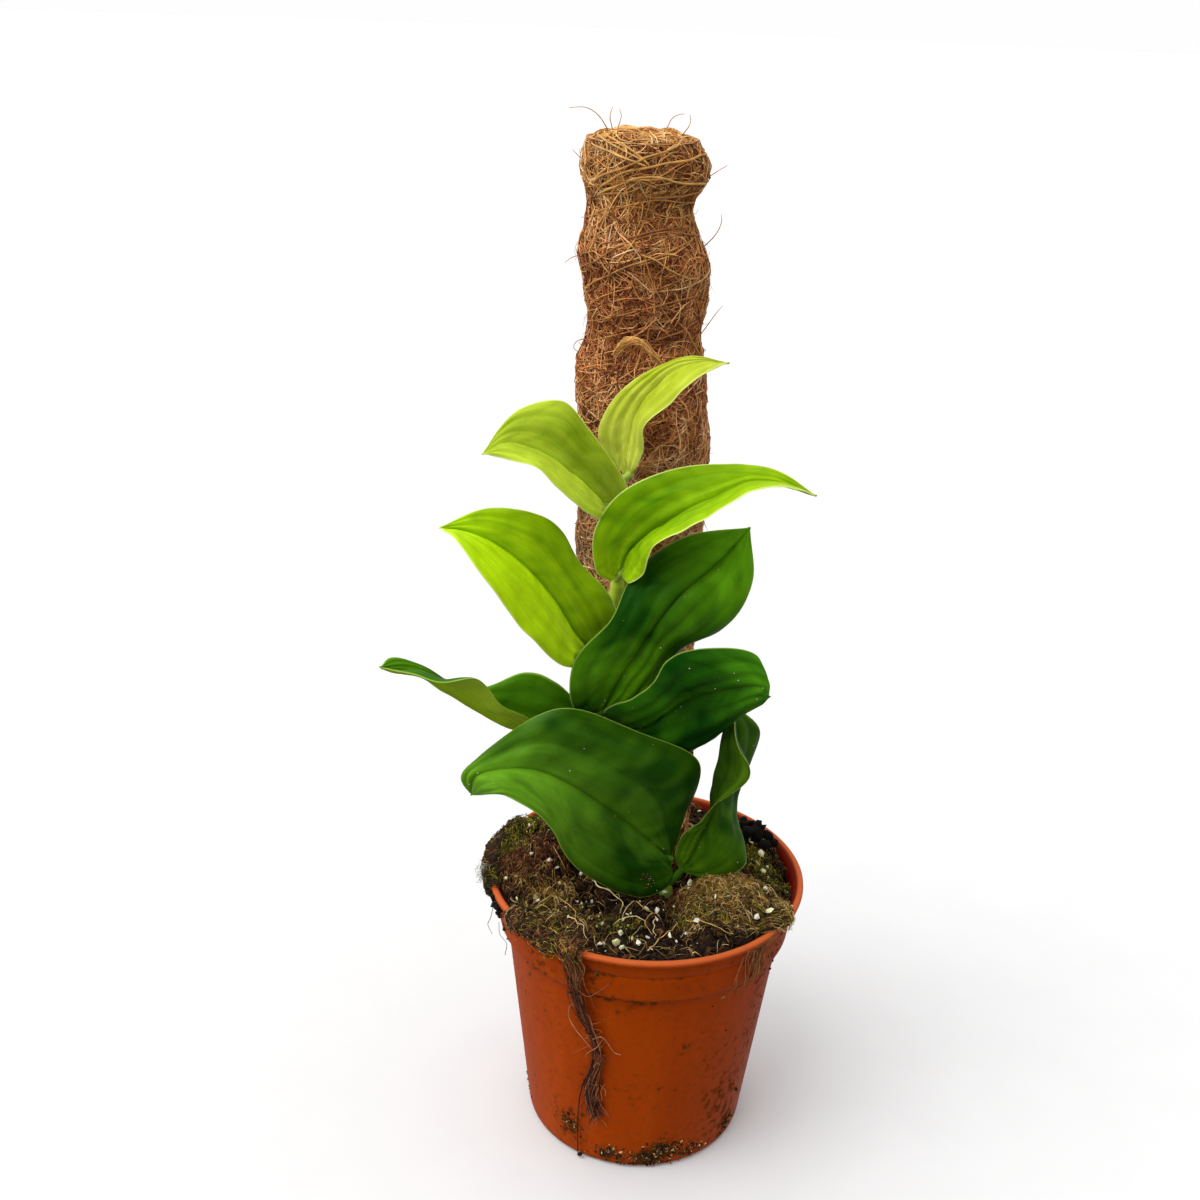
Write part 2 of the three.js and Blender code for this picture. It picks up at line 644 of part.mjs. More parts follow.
addPiece('pot', pot(), COLOURS.pot, 0.55);
addPiece('soil', soil(), COLOURS.soil, 0.95);
addPiece('moss_left', mossLeft(), COLOURS.moss, 0.95);
addPiece('moss_right', mossRight(), COLOURS.deadMoss, 0.95);
addPiece('clump_left', clumpLeft(), COLOURS.clump, 0.95);
addPiece('root_bundle', rootBundle(), COLOURS.root, 0.85);
addPiece('pole_stake', stake(), COLOURS.stake, 0.7);
addPiece('coir_wrap', coirWrap(), COLOURS.coir, 0.95);
addPiece('stem', stem(), COLOURS.stem, 0.5);
for (const [name, leaf] of Object.entries(LEAVES)) {
  addPiece(name, leafBlade(leaf), leaf.colour, 0.45);
}

export default plant;
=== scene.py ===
import math

import bpy
import numpy as np
from mathutils import Matrix


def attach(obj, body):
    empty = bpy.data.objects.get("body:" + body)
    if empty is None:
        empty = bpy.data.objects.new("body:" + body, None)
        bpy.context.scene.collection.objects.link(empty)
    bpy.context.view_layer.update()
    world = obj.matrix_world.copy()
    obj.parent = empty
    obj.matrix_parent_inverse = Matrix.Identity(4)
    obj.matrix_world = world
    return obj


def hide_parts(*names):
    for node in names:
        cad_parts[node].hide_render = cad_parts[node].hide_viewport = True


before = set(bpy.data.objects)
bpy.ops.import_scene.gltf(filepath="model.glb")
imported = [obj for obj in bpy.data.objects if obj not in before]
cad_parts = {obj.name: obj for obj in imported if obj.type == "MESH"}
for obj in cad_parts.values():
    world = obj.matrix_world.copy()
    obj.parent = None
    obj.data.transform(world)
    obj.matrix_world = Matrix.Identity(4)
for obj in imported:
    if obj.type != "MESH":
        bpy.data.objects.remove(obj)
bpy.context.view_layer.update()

MM = 0.001
PLANT_MIDDLE = 190
SCENE = bpy.context.scene


# Camera, light and floor

def place_camera():
    """The photograph's viewpoint: 49 cm in front of the pot and 42 cm up, looking down and tilted."""
    pitch, roll, yaw = np.radians([22.7, 2.2, -2.5])
    forward = np.array([math.sin(yaw) * math.cos(pitch), math.cos(yaw) * math.cos(pitch), -math.sin(pitch)])
    level = np.array([math.cos(yaw), -math.sin(yaw), 0.0])
    upright = np.cross(level, forward)
    right = math.cos(roll) * level + math.sin(roll) * upright
    up = math.cos(roll) * upright - math.sin(roll) * level
    data = bpy.data.cameras.new("camera")
    data.lens = 45
    data.sensor_width = 36
    camera = bpy.data.objects.new("camera", data)
    SCENE.collection.objects.link(camera)
    turn = Matrix((right, up, -forward)).transposed().to_4x4()
    camera.matrix_world = Matrix.Translation((0, -490 * MM, 422 * MM)) @ turn
    SCENE.camera = camera


def hex_colour(text):
    """An sRGB hex value as the linear colour that a shader takes."""
    value = np.array([int(text[i:i + 2], 16) for i in (1, 3, 5)]) / 255
    linear = np.where(value <= 0.04045, value / 12.92, ((value + 0.055) / 1.055) ** 2.4)
    return (*linear.tolist(), 1.0)


def palette(*texts):
    """Colours as rows of red, green and blue."""
    return np.array([hex_colour(text)[:3] for text in texts])


def feed(tree, node, inputs):
    """Gives a node's sockets their inputs: a hex colour, another value, the socket that feeds it, or
    a node, whose first output feeds it; a mix of colours comes out of its node's third."""
    for key, value in inputs.items():
        if isinstance(value, bpy.types.Node):
            value = value.outputs[2 if value.bl_idname == "ShaderNodeMix" else 0]
        if isinstance(value, bpy.types.NodeSocket):
            tree.links.new(value, node.inputs[key])
        else:
            node.inputs[key].default_value = hex_colour(value) if isinstance(value, str) else value


def add_node(tree, kind, inputs=None, **settings):
    """One shader node with its properties and its inputs."""
    node = tree.nodes.new("ShaderNode" + kind)
    for key, value in settings.items():
        setattr(node, key, value)
    feed(tree, node, inputs or {})
    return node


def new_material(name):
    """A material, its node tree and shader, and the socket that gives a place on the piece."""
    material = bpy.data.materials.new(name)
    material.use_nodes = True
    tree = material.node_tree
    return material, tree, tree.nodes["Principled BSDF"], add_node(tree, "TexCoord").outputs["Object"]


def place_sun(name, strength, towards, wide):
    """A white sun, as wide as the given degrees, that shines from its own direction at the plant."""
    data = bpy.data.lights.new(name, "SUN")
    data.energy = strength
    data.angle = math.radians(wide)
    lamp = bpy.data.objects.new(name, data)
    SCENE.collection.objects.link(lamp)
    away = np.array(towards, float)
    back = away / np.linalg.norm(away)
    side = np.cross([0, 0, 1], back)
    side /= np.linalg.norm(side)
    turn = Matrix((side, np.cross(back, side), back)).transposed().to_4x4()
    lamp.matrix_world = Matrix.Translation((away[0], away[1], away[2] + PLANT_MIDDLE * MM)) @ turn


def build_studio():
    """A white room. The sky is brightest overhead, a wide soft sun comes from above the front left,
    and the light from below is weaker than the floor looks, so that hanging sides stay deep."""
    SCENE.view_settings.view_transform = "Standard"
    world = bpy.data.worlds.new("white_surround")
    SCENE.world = world
    world.use_nodes = True
    tree = world.node_tree
    direction = add_node(tree, "TexCoord").outputs["Generated"]
    height = add_node(tree, "SeparateXYZ", {0: direction}).outputs["Z"]
    sky = add_node(tree, "MapRange", {"Value": height, "From Min": -0.1, "To Min": 0.40, "To Max": 1.18})
    feed(tree, tree.nodes["Background"], {"Strength": sky, "Color": "#FFFFFF"})
    place_sun("soft_sun", 1.3, (-0.42, -0.42, 1.0), 36)
    place_sun("side_window", 1.0, (-1.0, -0.26, 0.44), 46)
    place_sun("back_window", 0.45, (-0.5, 0.55, 1.0), 50)
    # The floor is 28 m wide and lies 0.3 mm under the pot; the cove is half a globe that stands on it
    half, cove_radius = 14000, 12600
    corners = np.array([[-half, -half, -0.3], [half, -half, -0.3], [half, half, -0.3], [-half, half, -0.3]])
    floor = new_piece("floor", [dict(points=corners, faces=[np.array([[0, 1, 2, 3]])])], floor_paint())
    up = np.linspace(0, 1, 24)[:, None] * np.pi / 2
    rings = round_axis(cove_radius * np.cos(up) + 10, full_turn(64), cove_radius * np.sin(up) - 10)
    globe = dict(points=rings.reshape(-1, 3), faces=[grid_faces(24, 64)[:, ::-1]])
    cove = new_piece("cove", [globe], lit_cove())
    for stage in (floor, cove):
        stage.visible_diffuse = False
        stage.visible_glossy = False
    cove.visible_shadow = False


# Meshes from whole arrays

def grid_faces(rows, columns):
    """Four-cornered faces between neighbouring rows and columns of a grid, whose last column joins
    its first."""
    i = np.arange(rows - 1)[:, None] * columns
    j = np.arange(columns)[None]
    k = (j + 1) % columns
    return np.stack([i + j, i + k, i + k + columns, i + j + columns], -1).reshape(-1, 4)


def full_turn(count):
    """Even steps of the angle once round."""
    return np.arange(count) * 2 * np.pi / count


def round_axis(radius, angle, height):
    """Points at a radius and an angle about the pot's axis, at a height."""
    return np.stack(np.broadcast_arrays(radius * np.cos(angle), radius * np.sin(angle), height), -1)


def ring_shell(rings, **values):
    """A closed skin through rings of points, counter-clockwise about the way they run, with a flat
    face over each end. rings is (rows, columns, 3); each value is one number or colour per point."""
    rows, columns = rings.shape[:2]
    first = np.arange(columns)[::-1][None]
    last = np.arange(columns)[None] + (rows - 1) * columns
    return dict(points=rings.reshape(-1, 3), faces=[grid_faces(rows, columns), first, last], **values)


def strand_shell(paths, radii, sides, beside, **values):
    """Many round strands at once. Each is a polygon of the given sides carried square along its
    path, and beside is a direction that no path runs along. paths is (strands, steps, 3)."""
    count, steps = paths.shape[:2]
    ahead = unit(np.gradient(paths, axis=1))
    across = unit(np.cross(ahead, beside))
    over = np.cross(ahead, across)
    angle = full_turn(sides)
    ring = np.cos(angle)[:, None] * across[:, :, None] + np.sin(angle)[:, None] * over[:, :, None]
    points = paths[:, :, None] + radii[:, :, None, None] * ring
    start = np.arange(count)[:, None] * steps * sides
    around = start[:, :, None] + grid_faces(steps, sides)[None]
    corner = np.arange(sides)[None]
    ends = [start + corner[:, ::-1], start + corner + (steps - 1) * sides]
    spread = {key: spread_over(value, count, steps * sides) for key, value in values.items()}
    return dict(points=points.reshape(-1, 3), faces=[around.reshape(-1, 4), *ends], **spread)


def spread_over(value, count, each):
    """One value per strand or lump, repeated for each of its points."""
    value = np.asarray(value, float)
    value = value.reshape(count, *value.shape[1:]) if value.ndim else np.full(count, float(value))
    return np.repeat(value, each, axis=0)


def unit(vectors):
    return vectors / (np.linalg.norm(vectors, axis=-1, keepdims=True) + 1e-12)


def lump_shell(centres, sizes, seed, rough=0.2, **values):
    """Crumbs: twenty-faced lumps, each stretched, turned and roughened in its own way."""
    draw = np.random.default_rng(seed)
    golden = (1 + 5 ** 0.5) / 2
    corners = [[a, b * golden, 0] for a in (-1, 1) for b in (-1, 1)]
    corners = np.array(corners + [[0, a, b] for a, b, _ in corners] + [[b, 0, a] for a, b, _ in corners])
    corners /= np.linalg.norm(corners[0])
    gaps = np.linalg.norm(corners[:, None] - corners[None], axis=-1) < 1.1
    triples = [(i, j, k) for i in range(12) for j in range(i) for k in range(j)
               if gaps[i, j] and gaps[j, k] and gaps[i, k]]
    faces = np.array(triples)
    a, b, c = (corners[faces[:, n]] for n in range(3))
    inward = np.einsum("ij,ij->i", np.cross(b - a, c - a), a) < 0
    faces[inward] = faces[inward][:, ::-1]
    count = len(centres)
    stretch = draw.uniform(0.8 - rough, 1.2 + rough / 4, (count, 1, 3))
    jitter = draw.uniform(1 - rough, 1 + rough, (count, 12, 1))
    turns = np.linalg.qr(draw.normal(size=(count, 3, 3)))[0]
    turns[:, :, 0] *= np.linalg.det(turns)[:, None]
    shapes = np.einsum("nij,nkj->nki", turns, corners * stretch * jitter)
    points = centres[:, None] + shapes * sizes[:, None, None]
    start = np.arange(count)[:, None, None] * 12
    spread = {key: spread_over(value, count, 12) for key, value in values.items()}
    return dict(points=points.reshape(-1, 3), faces=[(start + faces[None]).reshape(-1, 3)], **spread)


def new_piece(name, shells, material, slot=None, stands_for=None, smooth=True):
    """One mesh object from its shells. Every value of a shell becomes a point attribute of the mesh."""
    starts = np.cumsum([0] + [len(shell["points"]) for shell in shells])
    points = np.concatenate([shell["points"] for shell in shells]) * MM
    groups = [group + start for shell, start in zip(shells, starts) for group in shell["faces"]]
    sizes = np.concatenate([np.full(len(group), group.shape[1]) for group in groups])
    corners = np.concatenate([group.ravel() for group in groups])
    mesh = bpy.data.meshes.new(name)
    mesh.vertices.add(len(points))
    mesh.vertices.foreach_set("co", points.astype(np.float32).ravel())
    mesh.loops.add(len(corners))
    mesh.loops.foreach_set("vertex_index", corners.astype(np.int32))
    mesh.polygons.add(len(sizes))
    mesh.polygons.foreach_set("loop_start", (np.cumsum(sizes) - sizes).astype(np.int32))
    mesh.polygons.foreach_set("use_smooth", np.full(len(sizes), smooth))
    mesh.update(calc_edges=True)
    for key in shells[0].keys() - {"points", "faces"}:
        value = np.concatenate([shell[key] for shell in shells]).astype(np.float32)
        if value.ndim == 2:
            attribute = mesh.attributes.new(key, "FLOAT_COLOR", "POINT")
            colours = np.hstack([value, np.ones((len(value), 1), np.float32)])
            attribute.data.foreach_set("color", colours.ravel())
        else:
            attribute = mesh.attributes.new(key, "FLOAT", "POINT")
            attribute.data.foreach_set("value", value)
    mesh.materials.append(material)
    made = bpy.data.objects.new(name, mesh)
    SCENE.collection.objects.link(made)
    if slot:
        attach(made, "root")
    if stands_for:
        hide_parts(stands_for)
    return made


# Shapes used by several pieces

def curve_through(control, shares):
    """Places on a smooth curve, spread evenly from control point to control point: the cubic
    through each pair leaves and arrives along the line that joins their neighbours."""
    control = np.asarray(control, float)
    padded = np.vstack([2 * control[0] - control[1], control, 2 * control[-1] - control[-2]])
    position = np.clip(shares, 0, 1) * (len(control) - 1)
    i = np.minimum(position.astype(int), len(control) - 2)
    f = (position - i)[..., None]
    a, b, c, d = (padded[i + n] for n in range(4))
    return 0.5 * (2 * b + (c - a) * f + (2 * a - 5 * b + 4 * c - d) * f ** 2 + (3 * b - a - 3 * c + d)
                  * f ** 3)


def relief(points, size, seed):
    """Smooth uneven relief, mostly from -1.5 to 1.5: sine waves in random directions, each about
    as long as the size in mm, added up."""
    waves = 20
    draw = np.random.default_rng(seed)
    directions = unit(draw.normal(size=(waves, 3))) * 2 * np.pi / (size * draw.uniform(0.7, 1.5, (waves, 1)))
    phases = draw.uniform(0, 2 * np.pi, waves)
    return np.sin(points @ directions.T + phases).sum(-1) / math.sqrt(waves / 2)


def shade_at(shades, position):
    """Colours at places along a palette, each between two neighbours: 0.5 is half way from the first
    to the second."""
    low = np.asarray(position).astype(int)
    share = (position - low)[..., None]
    return shades[low] * (1 - share) + shades[low + 1] * share


def mixed_shades(draw, count, shades, lean=1.0):
    """One colour per strand or lump, drawn from all of the palette. A lean above 1 gives more of its
    first, darker ones."""
    return shade_at(shades, draw.random(count) ** lean * (len(shades) - 1.001))


def mixed_strands(draw, paths, radii, sides, beside, shades, lean=1.0):
    """Strands that each have their own colour from the palette."""
    return strand_shell(paths, radii, sides, beside, tint=mixed_shades(draw, len(paths), shades, lean))


def mixed_lumps(draw, places, sizes, seed, shades, lean=1.0, rough=0.2):
    """Lumps that each have their own colour from the palette."""
    return lump_shell(places, sizes, seed, rough, tint=mixed_shades(draw, len(places), shades, lean))


def walk(way, long):
    """How far each path has come across and up when it turns to the next way at each even step."""
    return [np.cumsum(part(way), 1) * long / way.shape[1] for part in (np.cos, np.sin)]


def sway(draw, count, rate, along):
    """A sine wave along each strand, which starts anywhere and whose rate lies between the two given."""
    return np.sin(draw.uniform(0, 6.3, (count, 1)) + draw.uniform(*rate, (count, 1)) * along)


def held_within(x, y, reach):
    """Places drawn back to the reach from the middle where they lie beyond it."""
    limit = np.minimum(1, reach / (np.hypot(x, y) + 1e-6))
    return x * limit, y * limit


def tapered(count, steps, radius, tip=0.35):
    """Radii along strands, full in the middle and thin at both ends."""
    full = tip + (1 - tip) * np.sin(np.pi * np.linspace(0, 1, steps)) ** 0.5
    return np.asarray(radius).reshape(-1, 1) * full[None] * np.ones((count, 1))


def peak(value, at, spread):
    """A smooth hump with the height 1 at one value, fallen to a third at the spread to either side."""
    return np.exp(-((value - at) / spread) ** 2)


def bump(x, y, at_x, at_y, spread, height):
    """A round smooth hump on the plane."""
    return height * np.exp(-((x - at_x) ** 2 + (y - at_y) ** 2) / spread ** 2)


def smooth_step(value, low, high):
    """From 0 below the low value to 1 above the high one, level at both ends."""
    share = np.clip((value - low) / (high - low), 0, 1)
    return share * share * (3 - 2 * share)


# Materials

def floor_paint():
    """Matt white painted board: an even, pale, slightly uneven surface."""
    material, tree, shader, place = new_material("matt_white_board")
    grain = add_node(tree, "TexNoise", {"Vector": place, "Scale": 1 / (25 * MM), "Detail": 2.0})
    tone = add_node(tree, "Mix", {0: grain, 6: "#D6D6D6", 7: "#DADADA"}, data_type="RGBA")
    feed(tree, shader, {"Base Color": tone, "Roughness": 0.9, "Specular IOR Level": 0.1})
    return material


def lit_cove():
    """Evenly lit white studio cove: only its brightness shows."""
    material, tree, _, _ = new_material("lit_white_cove")
    glow = add_node(tree, "Emission", {"Color": "#FEFEFE", "Strength": 1.0})
    feed(tree, tree.nodes["Material Output"], {"Surface": glow})
    return material


def moulded_polypropylene():
    """Injection-moulded polypropylene, orange-brown. It has a satin skin, faint upright flow marks, small
    brown specks all over, dried soil smeared on it, painted shade under the collar and in its groove, painted
    shade inside and faintly on its right side, and a painted highlight along the lip."""
    material, tree, shader, place = new_material("moulded_polypropylene")
    dirt, deep, scuffed = (add_node(tree, "Attribute", attribute_name=name).outputs["Fac"]
                           for name in ("dirt", "deep", "scuffed"))
    upright = add_node(tree, "Mapping", {"Vector": place, "Scale": (1, 1, 0.08)})
    flow = add_node(tree, "TexNoise", {"Vector": upright, "Scale": 1 / (12 * MM), "Detail": 3.0})
    colour = add_node(tree, "Mix", {0: flow, 6: "#963400", 7: "#AE4404"}, data_type="RGBA")
    # Specks of dried mix, 1 to 3 mm wide, in loose groups 25 mm across
    groups = add_node(tree, "TexNoise", {"Vector": place, "Scale": 1 / (25 * MM), "Detail": 2.0})
    specks = add_node(tree, "TexNoise", {"Vector": place, "Scale": 1 / (2.8 * MM), "Detail": 5.0,
                                         "Roughness": 0.62})
    grouped = add_node(tree, "Math", {0: groups, 1: 0.34, 2: specks}, operation="MULTIPLY_ADD")
    # Dried soil and the painted shade along the collar add to the specks
    total = add_node(tree, "Math", {0: dirt, 1: 0.34, 2: grouped}, operation="MULTIPLY_ADD")
    film = add_node(tree, "MapRange", {"Value": total, "From Min": 0.81, "From Max": 0.95, "To Max": 0.8})
    haze = add_node(tree, "MapRange", {"Value": total, "From Min": 0.62, "From Max": 0.92, "To Max": 0.35})
    # Painted highlight: the top of the lip is painted paler, for the light it catches
    lip_highlight_share = add_node(tree, "Math", {0: scuffed, 1: 0.62}, operation="MULTIPLY")
    # Haze and film of dried soil, the deep red of painted shade, and the lip's painted highlight go over the
    # plastic
    for share, over in ((haze, "#6B3008"), (film, "#4A2A0C"), (deep, "#6A120C"), (lip_highlight_share, "#D06A3C")):
        colour = add_node(tree, "Mix", {0: share, 6: colour, 7: over}, data_type="RGBA")
    rough = add_node(tree, "MapRange", {"Value": film, "From Max": 0.85, "To Min": 0.42, "To Max": 0.9})
    rise = add_node(tree, "Bump", {"Height": total, "Strength": 0.3, "Distance": 0.4 * MM})
    feed(tree, shader, {"Base Color": colour, "Roughness": rough, "Normal": rise, "IOR": 1.49,
                        "Specular IOR Level": 0.06, "Specular Tint": "#FF8A3C"})
    return material


def fibre_material(name, roughness, mottle_mm, grain_mm, sheen=0.0):
    """Plant fibre: each strand has its own tone from the tint attribute, mottled along its length."""
    material, tree, shader, place = new_material(name)
    tint = add_node(tree, "Attribute", attribute_name="tint").outputs["Color"]
    mottle = add_node(tree, "TexNoise", {"Vector": place, "Scale": 1 / (mottle_mm * MM), "Detail": 4.0})
    strength = add_node(tree, "MapRange", {"Value": mottle, "From Min": 0.3, "From Max": 0.7,
                                           "To Min": 0.72, "To Max": 1.25})
    toned = add_node(tree, "VectorMath", {0: tint, "Scale": strength}, operation="SCALE")
    grain = add_node(tree, "TexNoise", {"Vector": place, "Scale": 1 / (grain_mm * MM), "Detail": 3.0})
    rise = add_node(tree, "Bump", {"Height": grain, "Strength": 0.5, "Distance": 0.3 * grain_mm * MM})
    feed(tree, shader, {"Base Color": toned, "Roughness": roughness, "Normal": rise,
                        "Specular IOR Level": 0.15, "Sheen Weight": sheen})
    return material


def expanded_perlite():
    """Expanded perlite: white glassy foam in grains, with pores and a little algae on them."""
    material, tree, shader, place = new_material("expanded_perlite")
    tint = add_node(tree, "Attribute", attribute_name="tint").outputs["Color"]
    pores = add_node(tree, "TexVoronoi", {"Vector": place, "Scale": 1 / (0.6 * MM)})
    # Painted shade: darker in the pores
    depth = add_node(tree, "MapRange", {"Value": pores, "From Max": 0.5, "To Min": 0.8})
    toned = add_node(tree, "VectorMath", {0: tint, "Scale": depth}, operation="SCALE")
    rise = add_node(tree, "Bump", {"Height": pores, "Strength": 0.6, "Distance": 0.2 * MM})
    feed(tree, shader, {"Base Color": toned, "Roughness": 0.8, "Normal": rise})
    return material


def leaf_tissue(name, margin, gloss, sheen_tint):
    """Living leaf under a thin wax skin: satin, quilted between its fine veins, with a thin pale
    margin and a duller underside. Its own green filters the light that it throws back, so that
    its highlights stay green."""
    material, tree, shader, place = new_material(name)
    from_edge, from_rib, below = (add_node(tree, "Attribute", attribute_name=key).outputs["Fac"]
                                  for key in ("edge_mm", "rib_mm", "below"))
    colour = add_node(tree, "Attribute", attribute_name="tint").outputs["Color"]
    quilt = add_node(tree, "Attribute", attribute_name="quilt").outputs["Vector"]
    # Fine veins along the blade, about 1 mm apart and 9 mm long, and mottling 2 mm across
    veins = add_node(tree, "TexNoise", {"Vector": quilt, "Scale": 1.0, "Detail": 2.0, "Roughness": 0.45})
    mottle = add_node(tree, "TexNoise", {"Vector": place, "Scale": 1 / (2 * MM), "Detail": 4.0,
                                         "Roughness": 0.6})
    both = add_node(tree, "Math", {0: mottle, 1: 0.5, 2: veins}, operation="MULTIPLY_ADD")
    tone = add_node(tree, "MapRange", {"Value": both, "From Min": 0.5, "To Min": 0.9, "To Max": 1.1})
    # Painted shade: the colour is darker within about a millimetre of the midrib, in its groove
    painted_rib_shade = add_node(tree, "MapRange", {"Value": from_rib, "From Min": 0.1, "From Max": 0.9, "To Min": 0.85})
    for strength in (tone, painted_rib_shade):
        colour = add_node(tree, "VectorMath", {0: colour, "Scale": strength}, operation="SCALE")
    edge = add_node(tree, "MapRange", {"Value": from_edge, "From Min": 0.12, "From Max": 0.42,
                                       "To Min": 0.8, "To Max": 0.0})
    edged = add_node(tree, "Mix", {0: edge, 6: colour, 7: margin}, data_type="RGBA")
    rough = add_node(tree, "MapRange", {"Value": below, "To Min": gloss, "To Max": 0.62})
    rise = add_node(tree, "Bump", {"Height": both, "Strength": 0.5, "Distance": 0.2 * MM})
    feed(tree, shader, {"Base Color": edged, "Roughness": rough, "Normal": rise, "IOR": 1.42,
                        "Specular IOR Level": 0.2, "Specular Tint": sheen_tint})
    return material


def turned_pine():
    """Turned pine, planed with the grain: pale bands of year rings about 1.5 mm apart."""
    material, tree, shader, place = new_material("turned_pine")
    rings = add_node(tree, "TexWave", {"Vector": place, "Scale": 1 / (1.5 * MM) / 20, "Distortion": 3.0,
                                       "Detail": 3.0})
    tone = add_node(tree, "Mix", {0: rings.outputs["Fac"], 6: "#A67E4B", 7: "#C7A26B"}, data_type="RGBA")
    feed(tree, shader, {"Base Color": tone, "Roughness": 0.6})
    return material


# The nursery pot

# The profile from the middle of the base up the outside, then down the inside: radius, height
POT_OUTER = [
    [0, 0], [20, 0], [40.4, 0], [41.6, 0.35], [42.3, 1.1], [42.6, 2.2], [52.4, 85.0], [52.9, 86.3],
    [54.2, 86.7],
    [55.1, 87.1], [55.45, 87.9], [56.4, 96.4], [56.25, 97.2], [56.05, 97.6], [56.3, 98.0], [56.75, 98.6],
    [57.4, 103.6], [58.0, 104.2], [59.2, 104.4], [59.8, 104.8], [60.0, 105.5], [59.9, 106.3], [59.5, 106.8],
    [58.9, 107.0],
]
POT_INNER = [
    [58.2, 106.95], [57.7, 106.6], [57.2, 105.6], [56.0, 104.0], [54.0, 88.6], [51.4, 86.8], [41.2, 3.2],
    [40.2, 2.2], [20, 2.2], [0, 2.2],
]
RIM_RADIUS = 60
RIM_HEIGHT = 107


def wall_radius(height):
    """The outer radius of the pot's wall at a height."""
    wall = np.array(POT_OUTER[5:])
    return np.interp(height, wall[:, 1], wall[:, 0])


def build_pot(material):
    """The profile turned round the pot's axis, with the moulding's slight unevenness: the wall
    wanders in and out by a few hundredths of a millimetre."""
    profile = np.array(POT_OUTER + POT_INNER, float)
    length = np.concatenate([[0], np.cumsum(np.linalg.norm(np.diff(profile, axis=0), axis=1))])
    stations = np.unique(np.concatenate([length, np.arange(0, length[-1], 2.5)]))
    radius = np.interp(stations, length, profile[:, 0])
    height = np.interp(stations, length, profile[:, 1])
    angle = full_turn(150)
    uneven = 1 + 0.0012 * np.sin(3 * angle + 1) + 0.0008 * np.sin(5 * angle)
    height = height[:, None]
    rings = round_axis(np.maximum(radius, 0.02)[:, None] * uneven, angle, height)
    degrees = np.degrees(angle)[None]
    # Painted shade: the inside is painted a deeper red, and so, faintly, is the right side, which lies away
    # from the lamps
    inside = (stations > length[len(POT_OUTER)])[:, None]
    deep = np.maximum(inside, 0.15 * peak(degrees, 340, 34))
    # Dried soil gathers round the foot and where it was smeared; the dark lines under the collar and in its
    # groove are painted shade
    dirt = 0.35 * np.exp(-height / 5) + 0.45 * ~inside * peak(height, 85.6, 1.3)
    dirt = dirt + 0.30 * ~inside * peak(height, 97.5, 0.5)
    for at, z, wide, high, strength in SMEARS:
        away = (degrees - at + 180) % 360 - 180
        dirt = dirt + strength * np.exp(-(away / wide) ** 2 - ((height - z) / high) ** 2)
    # Painted highlight along the top of the lip, less on its inner side
    scuffed = smooth_step(height, 105.2, 106.6) * (1 - 0.4 * inside) + 0 * degrees
    values = dict(deep=deep.ravel(), dirt=dirt.ravel(), scuffed=scuffed.ravel())
    new_piece("pot_shell", [ring_shell(rings, **values)], material, "pot_plastic", "pot")


# The coir pole

POLE_Y = 15
POLE_TOP = 374
# The pole's own radius, by which distances round it are turned into angles
POLE_RADIUS = 20
# Height, how far to the right its middle lies, and radius
POLE_SHAPE = np.array([
    [97, -5.8, 20.6], [120, -6.2, 21.2], [150, -6.8, 21.6], [190, -7.6, 21.4], [225, -9.0, 21.8],
    [262, -8.6, 22.0], [285, -10.0, 22.8], [300, -11.4, 21.4], [310, -10.6, 18.9], [320, -9.8, 20.7],
    [328, -10.6, 20.2], [337, -12.6, 21.8], [345, -13.4, 18.6], [352, -13.8, 16.9], [356, -13.2, 17.6],
    [362, -12.6, 20.6], [368, -13.0, 20.6], [372.5, -14.0, 19.0], [375, -14.4, 16.5],
])
# Hollows in the wrap: angle, height, how wide, how deep
POLE_HOLLOWS = [[-1.62, 308.5, 6.5, 3.6], [-0.35, 322, 6, 3.2], [-2.55, 351, 5, 2.0]]


def pole_surface(angle, height, lift):
    """Points on the wrap: the pole's radius at that height, slanting swells and small clods of
    fibre, the hollows pressed in, and a lift off that surface."""
    axis = np.interp(height, POLE_SHAPE[:, 0], POLE_SHAPE[:, 1])
    radius = np.interp(height, POLE_SHAPE[:, 0], POLE_SHAPE[:, 2])
    slant = np.cos(angle * 2 + height * 0.21)
    clods = np.sin(angle * 5 + height * 0.9) * np.cos(angle * 3 - height * 0.55)
    tufts = np.sin(angle * 9 - height * 0.5 + 2) * np.sin(height * 0.62 + angle * 4)
    reach = radius + 0.55 * slant + 0.4 * clods + 0.35 * tufts - 1.0 + lift
    for at, z, wide, deep in POLE_HOLLOWS:
        away = np.angle(np.exp(1j * (angle - at))) * POLE_RADIUS
        reach = reach - deep * np.exp(-(away ** 2 + (height - z) ** 2 * 1.6) / wide ** 2)
    return np.stack([axis + reach * np.cos(angle), POLE_Y + reach * np.sin(angle), height + 0 * angle], -1)


